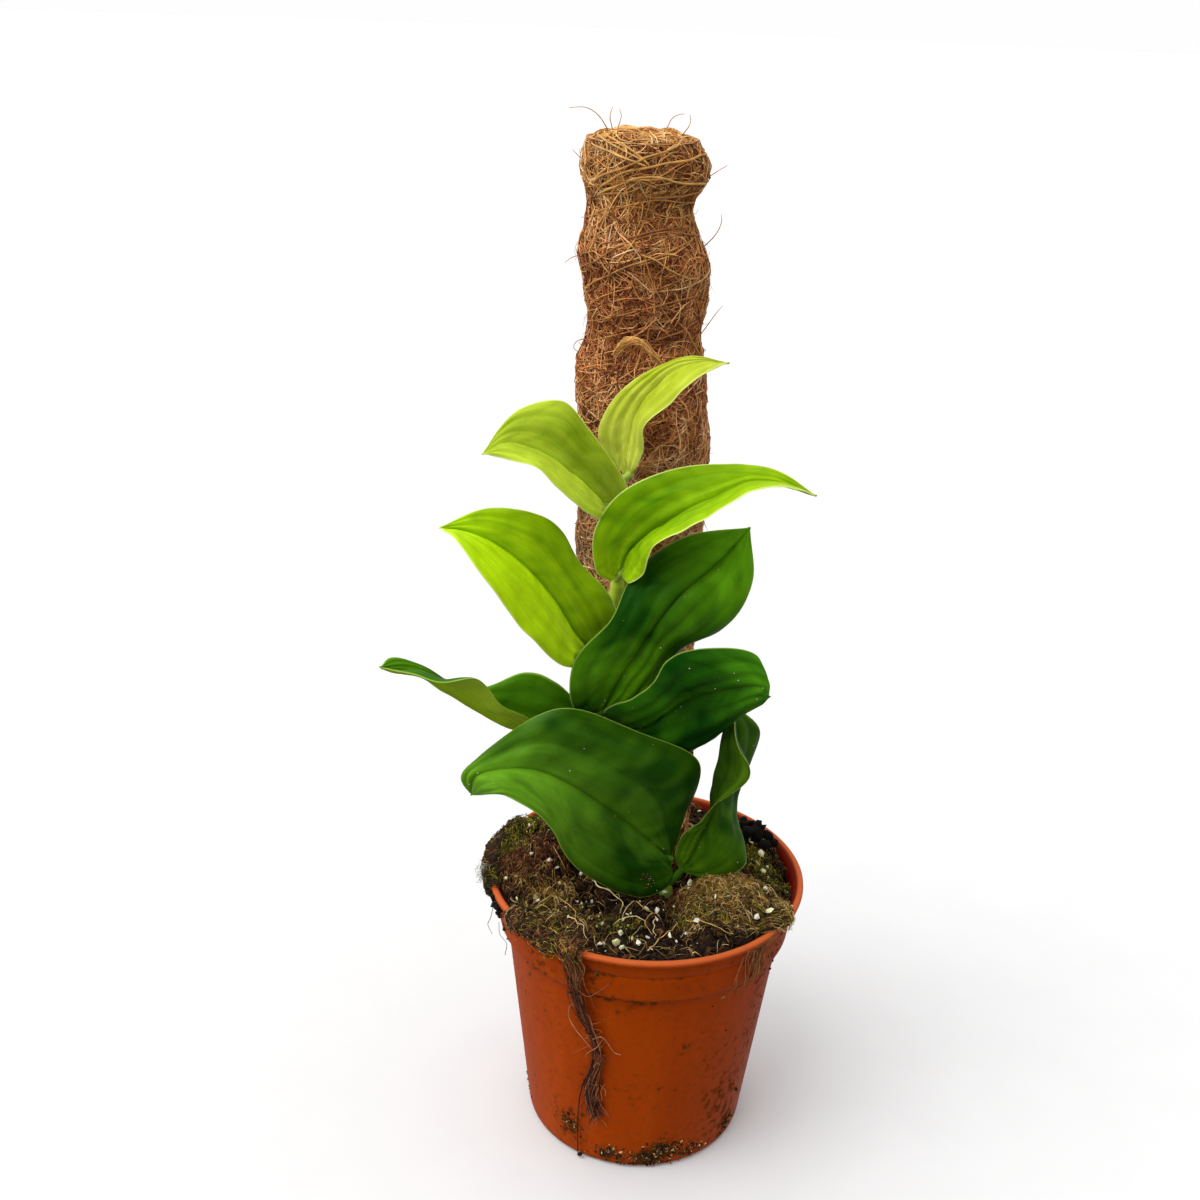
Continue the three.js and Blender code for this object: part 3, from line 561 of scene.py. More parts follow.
def pole_fibres(seed, count, length, radius, slope, curl, lift, heights, steps=7, sides=3, fringe=0.0):
    """Fibres matted on the wrap. Each starts at a random place and runs on in its own direction
    over the surface, turning steadily; it rises off it in the middle and dips in at its ends. Gives
    what strand_shell takes: paths, radii, sides and the direction outward."""
    draw = np.random.default_rng(seed)
    u = np.linspace(0, 1, steps)[None]
    long = draw.uniform(*length, (count, 1))
    way = draw.normal(*slope, (count, 1)) + np.pi * draw.integers(0, 2, (count, 1))
    way = way + draw.normal(0, curl, (count, 1)) * (u - 0.5) + 0.16 * curl * sway(draw, count, (4, 9), u)
    across, up = walk(way, long)
    angle = draw.uniform(-np.pi, np.pi, (count, 1)) + across / POLE_RADIUS
    height = np.clip(draw.uniform(*heights, (count, 1)) + up, 98, POLE_TOP - 1)
    rise = draw.uniform(*lift, (count, 1)) * np.sin(np.pi * u) ** 0.8 - 0.5
    rise = rise + fringe * u ** 2 * draw.random((count, 1))
    paths = pole_surface(angle, height, rise)
    axis = np.interp(height, POLE_SHAPE[:, 0], POLE_SHAPE[:, 1])
    outward = paths - np.stack([axis, POLE_Y + 0 * height, height], -1)
    return paths, tapered(count, steps, draw.uniform(*radius, count)), sides, unit(outward)


def fibre_shades(draw, paths, shades):
    """One colour per fibre: its own place in the palette, paler by painted light between the leaves and the
    upper swell, golden at the top left, redder lower down, and darker by painted shade low on the left, where
    the leaves shade the pole."""
    middle = paths[:, paths.shape[1] // 2]
    x, z = middle[:, 0], middle[:, 2]
    tone = draw.random(len(paths)) * 0.86 + 0.10 * relief(middle, 11, 9)
    tone = tone + 0.16 * smooth_step(z, 346, 368) * smooth_step(-x, 2, 26)
    # Painted light: fibres are paler between about 200 and 250 mm up, fading out by 140 and 300 mm, among the
    # leaves
    tone = tone + 0.34 * smooth_step(-z, -300, -250) * smooth_step(z, 140, 200)
    mixed = shade_at(shades, np.clip(tone, 0.02, 0.98) * (len(shades) - 1))
    redder = smooth_step(-z, -354, -335)[:, None] * [0.04, 0.13, 0.06] + [0, 0.02, -0.06]
    # Painted shade: darker low on the left side, in the leaves' shade
    painted_leaf_shade = 0.5 * (smooth_step(-z, -292, -266) * smooth_step(-x, 20, 30))[:, None]
    return mixed * (1 - redder) * (1 - painted_leaf_shade)


COIR_SHADES = palette("#6A3214", "#9A5828", "#C28040", "#DDA255", "#EFBE74", "#F9D89C")
STRAND_SHADES = palette("#7E4424", "#AE7440", "#CE9A50", "#E6BC76")
# The mat: its seed, how many fibres, their length, half thickness, slope and its spread, curl, how far
# they rise off the wrap, and the heights they start at
MAT = {
    "coir_fibres_lower": (11, 3200, (12, 40), (0.13, 0.24), (0.5, 1.0), 3.0, (0.4, 1.9), (97, 215)),
    "coir_fibres_middle": (13, 5200, (12, 38), (0.13, 0.26), (0.6, 1.0), 2.3, (0.4, 2.0), (205, 300)),
    "coir_fibres_upper": (12, 5200, (12, 38), (0.13, 0.26), (0.6, 1.0), 2.3, (0.4, 2.0), (290, 373)),
}
# Coarse strands wound round it, in the same order, and their colours
WOUND = [
    (21, 130, (40, 110), (0.14, 0.24), (0.30, 0.22), 0.7, (0.9, 1.9), (100, 372), COIR_SHADES[:4]),
    (23, 90, (30, 80), (0.16, 0.28), (0.34, 0.25), 0.9, (0.9, 1.9), (100, 372), COIR_SHADES[2:]),
    (22, 14, (40, 90), (0.20, 0.30), (0.30, 0.25), 0.8, (1.0, 1.9), (340, 370), STRAND_SHADES[1:]),
]
# The strands that bind the top: half thickness, tone, and degrees round the pole with the height
TIES = [
    (0.34, 1.6, [[-152, 358.6], [-128, 363.0], [-111, 365.2], [-97, 367.5], [-85, 369.5], [-70, 371.0],
        [-55, 372.5], [-36, 374.4]]),
    (0.34, 1.8, [[-152, 355.8], [-128, 360.0], [-115, 363.0], [-102, 365.0], [-86, 366.2], [-69, 367.8],
        [-45, 368.6], [-22, 369.6], [30, 368]]),
    (0.34, 2.2, [[-148, 355.4], [-121, 359.0], [-109, 361.0], [-98, 362.6], [-86, 363.4], [-71, 363.0],
        [-56, 361.6], [-20, 360.4], [40, 357]]),
    (0.32, 1.2, [[-150, 355.6], [-114, 357.6], [-94, 357.0], [-77, 356.8], [-53, 357.0], [-20, 357.6],
        [50, 355], [130, 354], [210, 355]]),
    (0.26, 1.7, [[-134, 349.4], [-113, 352.6], [-98, 354.4], [-81, 355.5], [-68, 356.0], [-28, 354.4],
        [40, 353], [120, 355], [200, 358]]),
    (0.26, 1.4, [[-160, 349.0], [-111, 353.4], [-82, 353.0], [-67, 351.2], [-44, 350.0], [-14, 350.4],
        [60, 352], [140, 351]]),
    (0.26, 0.5, [[-150, 338.5], [-127, 341.5], [-109, 343.0], [-92, 345.0], [-73, 346.5], [-50, 347.0],
        [5, 345.5], [90, 343], [170, 345]]),
    (0.24, 0.9, [[-185, 330.0], [-138, 335.0], [-111, 341.0], [-95, 343.5], [-81, 345.0], [-57, 346.0],
        [0, 343.0], [80, 341]]),
    (0.26, 1.3, [[-180, 322.5], [-127, 331.0], [-101, 335.5], [-78, 338.5], [-57, 341.0], [-12, 344.0],
        [70, 346]]),
    (0.30, 2.3, [[-150, 372.0], [-134, 371.0], [-114, 369.6], [-98, 368.0], [-86, 366.4]]),
    (0.26, 2.4, [[-146, 375.0], [-135, 374.0], [-114, 372.0], [-97, 369.5], [-88, 368.0]]),
    (0.26, 2.2, [[-132, 375.6], [-125, 374.5], [-107, 372.8], [-92, 369.5], [-84, 366.6]]),
    (0.24, 1.8, [[-90, 339.5], [-77, 338.0], [-64, 334.5], [-46, 331.5], [-30, 331.0]]),
    (0.24, 2.0, [[-84, 349.0], [-95, 343.0], [-106, 338.0], [-113, 333.5]]),
    (0.22, 0.8, [[-190, 312.0], [-140, 316.0], [-90, 322.0], [-40, 325.0], [20, 322.0], [90, 318]]),
    (0.22, 0.6, [[-170, 300.0], [-120, 304.0], [-80, 311.0], [-30, 316.0], [40, 314.0]]),
    (0.24, 1.4, [[-60, 318.0], [-40, 312.0], [-22, 305.0], [-5, 298.0]]),
    (0.22, 1.0, [[-20, 292.0], [-35, 284.0], [-44, 274.0], [-50, 264.0]]),
]
# The long loose ends that stand out from the pole
LOOSE_ENDS = [
    [[-24, 14, 373], [-26.3, 13, 377.0], [-29.0, 13, 380.2], [-33.0, 13, 382.0], [-38.0, 13, 381.6]],
    [[-23, 12, 373], [-23.8, 12, 376], [-24.6, 12, 379], [-24.4, 12, 381], [-23.9, 12, 382.5]],
    [[-21, 11, 374], [-21.9, 11, 376], [-21.4, 11, 378], [-21.0, 11, 380], [-21.6, 11, 382.0]],
    [[-8, 13, 374], [-6.2, 13, 376.8], [-5.1, 13, 379.2], [-3.4, 13, 380.6], [-0.9, 13, 381.2]],
    [[-3, 14, 372], [-0.4, 15, 375.6], [0.8, 15, 377.4], [1.2, 15, 379.2], [0.8, 15, 380.9]],
    [[4, 14, 359], [7.0, 15, 361.0], [9.6, 15, 362.8], [11.6, 15, 364.2], [13.9, 15, 365.6]],
    [[-29, 14, 365], [-31.5, 15, 365.2], [-33.4, 15, 365.8], [-35.0, 15, 367.0], [-36.6, 15, 368.6]],
    [[-28, 14, 334], [-31.5, 15, 334.7], [-34.0, 15, 334.5], [-36.2, 15, 333.6], [-38.2, 15, 332.0]],
    [[6, 13, 307], [9.5, 14, 311.6], [11.7, 15, 314.8], [13.5, 15, 317.6], [15.3, 15, 320.0]],
    [[-29, 14, 306], [-31.6, 15, 306.4], [-33.8, 15, 305.2], [-34.3, 15, 303.2], [-32.4, 15, 301.8]],
    [[8, 12, 340], [10.6, 13, 342.6], [12.4, 14, 345.2], [13.2, 15, 347.8], [13.0, 15, 350.0]],
]
# The pale skein that stands off the wrap in a loop over the hollow
SKEIN_LOOP = [[-19.6, -4, 306], [-17.6, -6.8, 309.6], [-14.6, -8.2, 312.0], [-11.6, -8.4, 312.2],
              [-9.0, -8.0, 310.2], [-7.0, -7.4, 307.6], [-5.2, -6.6, 305.8], [-3.0, -5.0, 305.0]]
# Directions that no lying, hanging or standing strand runs along
UPWARD = [0.01, 0.02, 1]
ALONG_WALL = [0.3, 1, 0.01]
FORWARD = [0.02, 1, 0.01]


def build_coir(fibre):
    """The wrap: a lumpy dark core with thousands of fibres matted in it and on it."""
    angle, height = np.meshgrid(full_turn(120), np.concatenate([np.linspace(97, 373, 240), [POLE_TOP]]))
    rings = pole_surface(angle, height, -0.9)
    rings += 0.5 * relief(rings, 4, 5)[..., None] * unit(rings - [-10, POLE_Y, 0]) * [1, 1, 0]
    rings[-1] = rings[-1].mean(0) + (rings[-2] - rings[-2].mean(0)) * 0.5
    tint = palette("#6A3616")[0] * (1 + 0.25 * relief(rings, 7, 6)[..., None])
    new_piece("coir_core", [ring_shell(rings, tint=tint.reshape(-1, 3))], fibre, "coir", "coir_wrap")
    for name, (seed, *rest) in MAT.items():
        draw = np.random.default_rng(seed + 50)
        fibres = pole_fibres(seed, *rest)
        shell = strand_shell(*fibres, tint=fibre_shades(draw, fibres[0], COIR_SHADES))
        new_piece(name, [shell], fibre, "coir")


def build_coir_strands(fibre):
    """Coarse strands wound round the wrap, and those that bind its top, which rise off it a little
    and tuck in at both ends."""
    shells = []
    for seed, *rest, shades in WOUND:
        draw = np.random.default_rng(seed + 50)
        shells.append(mixed_strands(draw, *pole_fibres(seed, *rest, steps=40, sides=5), shades))
    share = np.linspace(0, 1, 60)
    turned = np.stack([curve_through(path, share) for _, _, path in TIES])
    thick, tone = np.array([tie[:2] for tie in TIES]).T[..., None]
    angle, height = np.radians(turned[..., 0]), turned[..., 1]
    tuck = 1.6 * np.exp(-share / 0.03) + 1.6 * np.exp(-(1 - share) / 0.03)
    rise = 1.35 + 0.3 * np.sin(3 * angle + height[:, :1]) - tuck
    paths = pole_surface(angle, np.minimum(height, POLE_TOP), rise)
    paths[..., 2] += np.maximum(height - POLE_TOP, 0)
    beside = np.stack([np.cos(angle), np.sin(angle), 0 * angle], -1)
    radii = 1.15 * thick * (1 + 0.15 * np.sin(23 * share + tone * 9))
    shells.append(strand_shell(paths, radii, 5, beside, tint=shade_at(STRAND_SHADES, tone[:, 0])))
    new_piece("coir_strands", shells, fibre, "coir")


def build_coir_ends(fibre):
    """The top, a low dome of fibres laid in arcs across it; then many short loose ends all round,
    the long ones that stand out, and a pale looped skein."""
    draw = np.random.default_rng(31)
    count, steps = 1500, 8
    u = np.linspace(-0.5, 0.5, steps)[None]
    long = draw.uniform(6, 26, (count, 1))
    way = draw.uniform(-np.pi, np.pi, (count, 1)) + draw.normal(0, 2.2, (count, 1)) * u
    from_middle = draw.uniform(0, 17, (count, 1))
    about = draw.uniform(-np.pi, np.pi, (count, 1))
    across, up = walk(way, long)
    x, y = held_within(from_middle * np.cos(about) + across, from_middle * np.sin(about) + up, 17.6)
    dome = 374.8 - 4.0 * (np.hypot(x, y) / 18) ** 4
    z = dome + draw.uniform(-1.4, 1.0, (count, 1)) + 0.9 * np.sin(0.4 * x + 1) * np.cos(0.35 * y)
    paths = np.stack([x - 13.8, y + POLE_Y, z], -1)
    radii = tapered(count, steps, draw.uniform(0.12, 0.26, count))
    new_piece("coir_top", [mixed_strands(draw, paths, radii, 3, UPWARD, COIR_SHADES[1:])], fibre, "coir")

    short = pole_fibres(41, 900, (5, 15), (0.06, 0.12), (0.4, 0.9), 3.0, (0.8, 1.6), (100, 372), fringe=4.2)
    shells = [mixed_strands(draw, *short, COIR_SHADES[1:])]
    paths = np.stack([curve_through(path, np.linspace(0, 1, 14)) for path in LOOSE_ENDS])
    radii = np.full((len(paths), 14), 0.2) * np.linspace(1.1, 0.5, 14)
    shells.append(strand_shell(paths, radii, 5, FORWARD, tint=np.tile(COIR_SHADES[2], (len(paths), 1))))
    draw = np.random.default_rng(43)
    count, steps = 16, 40
    share = np.linspace(0, 1, steps)[:, None]
    spread = draw.normal(0, 0.55, (count, 1, 3)) * (0.5 + np.sin(np.pi * share))
    paths = curve_through(SKEIN_LOOP, share[:, 0]) + spread
    paths += 0.3 * np.sin(14 * share + draw.uniform(0, 6, (count, 1, 3)))
    shells.append(mixed_strands(draw, paths, np.full((count, steps), 0.15), 4, FORWARD, COIR_SHADES[2:5]))
    new_piece("coir_loose_ends", shells, fibre, "coir")


# Soil, moss and roots

SOIL_LEVEL = 104
# How far from the pot's axis crumbs are strewn, and how far lying strands may reach
SOIL_REACH = 55.5
STRAND_REACH = 55.8
# The soil body's side, from its base up: radius, height
SOIL_SIDE = [[39.6, 2.8], [41.0, 5], [51.0, 86.0], [53.2, 88.4], [55.2, 98]]
# Mounds and hollows of the mix: place, how wide, how high
SOIL_FORMS = [[-40, 10, 20, 9], [36, 22, 15, 5], [28, -24, 20, 3], [-37, -2, 8, 2.5], [-45, 9, 4.5, -3.5],
              [54, 6, 12, -5], [-16, -27, 7, -2.5], [12, -38, 7, -1.5], [30, -2, 9, 4]]

SOIL_SHADES = palette("#0C0705", "#19100A", "#2A1A10", "#3E2818", "#583C22")
RUST_SHADES = palette("#2E160C", "#4E2716", "#734024", "#935A36", "#B07E50")
STRAW_SHADES = palette("#3C2A10", "#6C4C1C", "#9C7634", "#CAA458", "#EAD296")
MOSS_SHADES = palette("#262C04", "#46480A", "#6A640E", "#928A1C", "#B4AA34")
PERLITE_SHADES = palette("#F1EAD8", "#E2DAC0", "#DDDFA8", "#CDD48A", "#F0E0DC")
# Black clods at the right back: place and size
CLODS = np.array([
    [42, 23, 3.6], [46, 18, 2.6], [37, 28, 3.0], [47, 25, 2.8], [41, 30, 2.8], [34, 31, 2.4],
    [49, 16, 1.8], [43, 27, 3.2], [39, 21, 2.4], [45, 29, 2.2], [50, 21, 1.8], [38, 33, 2.2],
])
# The larger grains of perlite: place and size
GRAINS = np.array([
    [-52, -13.7, 1.5], [-48.3, -13.3, 1.0], [-43.7, -3.6, 1.5], [-42.2, -7.1, 1.3], [-36.5, -7.4, 1.0],
    [-33.3, -8.5, 0.9],
    [-31.5, -15.7, 1.2], [-39.7, -24, 1.4], [-38.8, -27.5, 0.9], [-46.6, -25.2, 1.1], [-24.2, -8.6, 1.3],
    [-38.7, 16.9, 1.0],
    [-43.5, -40.2, 1.2], [-7.8, -42.4, 2.0], [-8.9, -48.5, 2.0], [-6.7, -49.7, 1.3], [-14.5, -50.5, 1.5],
    [-16.9, -44.5, 0.7],
    [-14.6, -36.4, 1.2], [7.7, -15.1, 1.9], [16.6, -18, 1.3], [15.9, -22.8, 1.2], [1.5, -25, 1.9],
    [5, -27.2, 1.4],
    [5.1, -31.8, 1.0], [25.6, -30.8, 1.4], [19.8, -35.8, 1.5], [9.8, -41.9, 1.2], [2.1, -42.8, 1.2],
    [40.6, -34.9, 1.9],
    [45.3, -32, 1.4], [48.2, -20.9, 0.8], [54.2, -21, 0.7], [44.2, -19, 1.2], [44.4, 13.9, 1.4],
    [43.1, 9.9, 1.2],
    [45.4, 8.4, 1.3], [47.3, 5.9, 1.1], [40.9, 18.6, 1.1], [-1.2, -47.7, 1.3], [3.5, -50, 0.8],
    [-3.5, -45, 0.8],
])
# Litter strewn all over: how many, length, half thickness, lift and colours
LITTER = [
    (1200, (3, 10), (0.07, 0.15), (0.5, 2.0), SOIL_SHADES[2:] * 1.3),
    (600, (4, 12), (0.07, 0.13), (0.8, 2.8), STRAW_SHADES),
    (14, (12, 28), (0.12, 0.2), (1.4, 3.0), STRAW_SHADES[3:]),
]
# Litter in groups: place, spread, how many, length, lift and colours
LITTER_GROUPS = [
    (-52, 6, 4.5, 340, (1.6, 4.5), (0.8, 2.6), MOSS_SHADES), (-46, 18, 6, 340, (1.6, 4.5), (0.8, 2.6),
        MOSS_SHADES),
    (-40, 30, 8, 300, (1.6, 5), (0.8, 2.8), MOSS_SHADES), (-20, 42, 9, 240, (1.6, 5), (0.8, 2.4),
        MOSS_SHADES),
    (-50, -8, 5, 300, (2, 6), (0.8, 2.8), RUST_SHADES), (-38, -2, 6, 560, (2, 6), (0.8, 4.0), RUST_SHADES),
    (-42, -14, 6, 380, (2, 7), (0.8, 3.0), STRAW_SHADES[:4]), (-34, -20, 3.5, 220, (2, 6), (0.8, 3.4),
        STRAW_SHADES[1:]),
    (-8, -36, 4, 170, (1.6, 4.5), (0.8, 2.4), MOSS_SHADES), (48, 1, 4.5, 340, (1.6, 4), (0.6, 2.2),
        MOSS_SHADES),
    (42, 12, 4.5, 240, (1.6, 4.5), (0.8, 2.6), MOSS_SHADES[2:]), (30, -22, 5.5, 700, (3, 8), (0.6, 3.4),
        STRAW_SHADES[1:]),
    (16, -22, 4.5, 240, (2, 6), (0.8, 2.6), RUST_SHADES), (18, -31, 3.5, 160, (2, 5), (0.8, 2.4),
        MOSS_SHADES),
    (33, -31, 4, 180, (2, 5), (0.8, 2.4), MOSS_SHADES[:3]),
]
# Long pale roots and twigs that lie on top: half thickness, and place and height over the soil
LYING_ROOTS = [
    (0.42, [[-21.6, -8.4, 2.4], [-17, -14.3, 2.2], [-13.1, -16.8, 2.4], [-8.4, -20.4, 2.2],
        [-8, -28.9, 1.6]]),
    (0.30, [[2, -53, 2.2], [6, -46, 3.0], [12.6, -35.6, 3.4]]),
    (0.26, [[28, -21.2, 8], [33, -25, 7.4], [38.8, -28.4, 6]]),
    (0.24, [[15.6, -35.2, 4.2], [24, -38.6, 4.4], [32.1, -41.7, 4]]),
    (0.22, [[-27, -36, 4], [-22, -42, 4.4], [-19, -49, 4]]),
    (0.20, [[-30, -25, 4], [-25, -34, 5], [-23, -44, 4.4]]),
    (0.2, [[4.5, -32, 2.6], [4, -38, 3.2], [5, -43, 2.4]]),
    (0.2, [[-3, -23, 2.6], [3, -29, 3], [1, -36, 2.4], [4, -41, 2]]),
]


def soil_top(x, y):
    """The soil's height: its mounds and hollows, and lumps all over."""
    lumps = np.sin(0.42 * x + 1) * np.cos(0.37 * y) + 0.6 * np.sin(0.83 * x + 0.61 * y)
    return SOIL_LEVEL + sum(bump(x, y, *form) for form in SOIL_FORMS) + 0.8 * lumps


def on_soil(draw, count):
    """Random places on the soil, clear of the pole: twice as many are drawn, and those on the pole
    and beyond the count are left out."""
    radius = np.sqrt(draw.uniform(0, SOIL_REACH ** 2, count * 2))
    angle = draw.uniform(-np.pi, np.pi, count * 2)
    x, y = radius * np.cos(angle), radius * np.sin(angle)
    clear = np.hypot(x + 6, y - POLE_Y) > 20.5
    x, y = x[clear][:count], y[clear][:count]
    return np.stack([x, y, soil_top(x, y)], -1)


def lying_strands(draw, places, length, radius, lift, steps=6, curl=2.2):
    """Short strands that lie about on the soil: each bends steadily as it goes, follows the height
    under it, and rises a little in its middle."""
    count = len(places)
    u = np.linspace(0, 1, steps)[None]
    long = draw.uniform(*length, (count, 1))
    way = draw.uniform(-np.pi, np.pi, (count, 1)) + draw.normal(0, curl, (count, 1)) * (u - 0.5)
    across, up = walk(way, long)
    x, y = held_within(places[:, :1] + across, places[:, 1:2] + up, STRAND_REACH)
    slope = draw.normal(0, 0.25, (count, 1)) * long * (u - 0.5)
    rise = draw.uniform(*lift, (count, 1)) * (0.3 + np.sin(np.pi * u))
    z = soil_top(x, y) + 0.9 * patch_rise(x, y) + rise + slope
    return np.stack([x, y, z], -1), tapered(count, steps, draw.uniform(*radius, count))


def build_soil(draw, earth, perlite):
    """Potting mix: a lumpy body, crumbs of peat and bark and black clods on it, and perlite."""
    side = np.array(SOIL_SIDE)
    flat = np.concatenate([[56.2, 55.6], np.linspace(54.6, 0.4, 56)])
    radius = np.concatenate([side[:, 0], flat])[:, None]
    angle = full_turn(150)
    height = soil_top(radius * np.cos(angle), radius * np.sin(angle))
    height[:len(side)] = side[:, 1:]
    rings = round_axis(radius, angle, height)
    top = rings[len(side):]
    top[..., 2] += 0.8 * relief(top, 6, 61) + 0.5 * relief(top, 2.4, 62) - 0.4
    top[0, :, 2] -= 1.2
    shade = 0.5 + 0.35 * relief(rings, 6, 63)[..., None]
    tint = np.clip(SOIL_SHADES[0] * (1 - shade) + SOIL_SHADES[2] * shade, 0.002, 1)
    new_piece("soil_body", [ring_shell(rings, tint=tint.reshape(-1, 3))], earth, "soil", "soil")

    places = on_soil(draw, 6000)
    sizes = 0.3 + 1.2 * draw.random(len(places)) ** 3
    places[:, 2] += sizes * draw.uniform(-0.2, 0.9, len(places))
    shells = [mixed_lumps(draw, places, sizes, 65, SOIL_SHADES, 1.45)]
    x, y, size = CLODS.T
    heights = soil_top(x, y) + 2.0 + size * np.linspace(0.3, 1.0, len(CLODS))
    black = np.tile(SOIL_SHADES[0], (len(CLODS), 1))
    shells.append(lump_shell(np.column_stack([x, y, heights]), size, 66, 0.28, tint=black))
    new_piece("soil_crumbs", shells, earth, "soil")

    scattered = on_soil(draw, 240)[:, :2]
    x, y = np.vstack([GRAINS[:, :2], scattered]).T
    sizes = np.concatenate([GRAINS[:, 2] * 0.85, 0.22 + 0.5 * draw.random(len(scattered)) ** 2])
    lift = np.where(np.arange(len(x)) < len(GRAINS), 1.5, 1.0) + patch_rise(x, y)
    places = np.column_stack([x, y, soil_top(x, y) + 0.5 * sizes + lift])
    grains = mixed_lumps(draw, places, sizes, 67, PERLITE_SHADES, rough=0.45)
    new_piece("perlite_grains", [grains], perlite, "soil", smooth=False)


def build_litter(draw, fibre):
    """Moss, rust-brown peat fibre and straw-pale dead moss strewn on the soil and in groups, and a
    few long pale roots."""
    shells = []
    for count, length, radius, lift, shades in LITTER:
        paths, radii = lying_strands(draw, on_soil(draw, count), length, radius, lift)
        shells.append(mixed_strands(draw, paths, radii, 3, UPWARD, shades, 1.3))
    for at_x, at_y, spread, count, length, lift, shades in LITTER_GROUPS:
        places = np.column_stack([draw.normal(at_x, spread, count), draw.normal(at_y, spread, count)])
        places = places[np.hypot(places[:, 0], places[:, 1]) < 55]
        paths, radii = lying_strands(draw, places, length, (0.07, 0.16), lift, steps=5, curl=1.6)
        shells.append(mixed_strands(draw, paths, radii, 3, UPWARD, shades, 1.5))
    new_piece("soil_litter", shells, fibre, "moss")
    share = np.linspace(0, 1, 26)
    shells = []
    for k, (thick, path) in enumerate(LYING_ROOTS):
        places = curve_through(path, share)
        places[:, :2] += 0.35 * np.stack([np.sin(17 * share + k), np.cos(13 * share + k)], -1)
        places[:, 2] += soil_top(places[:, 0], places[:, 1])
        radii = 0.8 * thick * (1 - 0.5 * share) * (1 + 0.15 * np.sin(31 * share + k))
        shells.append(strand_shell(places[None], radii[None], 6, UPWARD, tint=STRAW_SHADES[None, 4 - k % 2]))
    new_piece("lying_roots", shells, fibre, "root")


# Patches that lie on the soil and drape over the lip. v runs out from the middle and u round the pot.
# limit says how far out a patch goes at each u; reach says how far it hangs down the wall there.
PATCHES = {
    "moss_left": dict(
        from_degrees=208, to_degrees=248, inner=32, lumps=1.2, height=lambda v: 2.2 + 0 * v, top=0.6,
        lean=1.35,
        reach=lambda u: 0.6 + 2.4 * np.sin(7 * u) ** 2,
        limit=lambda u: 0.46 + 0.54 * smooth_step(u, 0.12, 0.28),
        slot="moss", seed=71, covers=[
            (1300, (2.0, 6), (0.07, 0.15), (0.1, 1.4), MOSS_SHADES), (500, (3, 8), (0.05, 0.11), (0.2, 1.8),
                STRAW_SHADES),
            (1000, (2.5, 8), (0.06, 0.13), (0.1, 1.5), RUST_SHADES)]),
    "moss_right": dict(
        from_degrees=292, to_degrees=351, inner=24, lumps=1.4, height=lambda v: 13.5 - 14 * v, top=0.9,
        lean=1.2,
        reach=lambda u: 0.5 + 2.5 * np.sin(9 * u) ** 2,
        limit=lambda u: (0.28 + 0.28 * smooth_step(u, 0.18, 0.42) + 0.18 * peak(u, 0.62, 0.11)
                         - 0.16 * smooth_step(u, 0.80, 0.94)),
        slot="dead_moss", seed=72, covers=[
            (1800, (3, 11), (0.05, 0.12), (0.2, 2.4), STRAW_SHADES), (600, (3, 9), (0.06, 0.13), (0.1, 1.6),
                RUST_SHADES),
            (1200, (2, 6), (0.07, 0.14), (0.1, 1.6), MOSS_SHADES)]),
    "clump_left": dict(
        from_degrees=150, to_degrees=198, inner=45, lumps=1.2, height=lambda v: 2.6 + 0 * v, top=0.5,
        lean=1.7,
        reach=lambda u: 0.8 + 5.5 * peak(u, 0.76, 0.17),
        limit=lambda u: 0.62 + 0.38 * smooth_step(u, 0.36, 0.54),
        slot="clump", seed=73, covers=[
            (1000, (2, 6), (0.07, 0.15), (0.1, 1.5), MOSS_SHADES), (500, (3, 9), (0.05, 0.11), (0.2, 1.6),
                RUST_SHADES),
            (500, (3, 9), (0.06, 0.13), (0.2, 1.6), SOIL_SHADES)]),
}


# The stations that a patch runs through: radii on the soil up to its edge, then radius, height and
# heaping direction over the lip, then radius, share of the reach and direction down the wall
SOIL_EDGE = 54.6
PATCH_RADII = (6, 15, 24, 32, 39, 45, 50, SOIL_EDGE)
LIP_STATIONS = [(57.4, 107.4, 0.25), (60.4, 107.4, 0.8), (60.4, 104.8, 1.4)]
WALL_STATIONS = [(60.1, 0.5, 1.5), (59.6, 1.0, 1.55)]


def heaped(u, v):
    """How high a patch is heaped: nothing at its border and most in its middle, by the sines of its
    two shares."""
    return np.sin(np.pi * np.clip(u, 0, 1)) ** 0.7 * np.sin(np.pi * (0.04 + 0.92 * np.clip(v, 0, 1))) ** 0.6


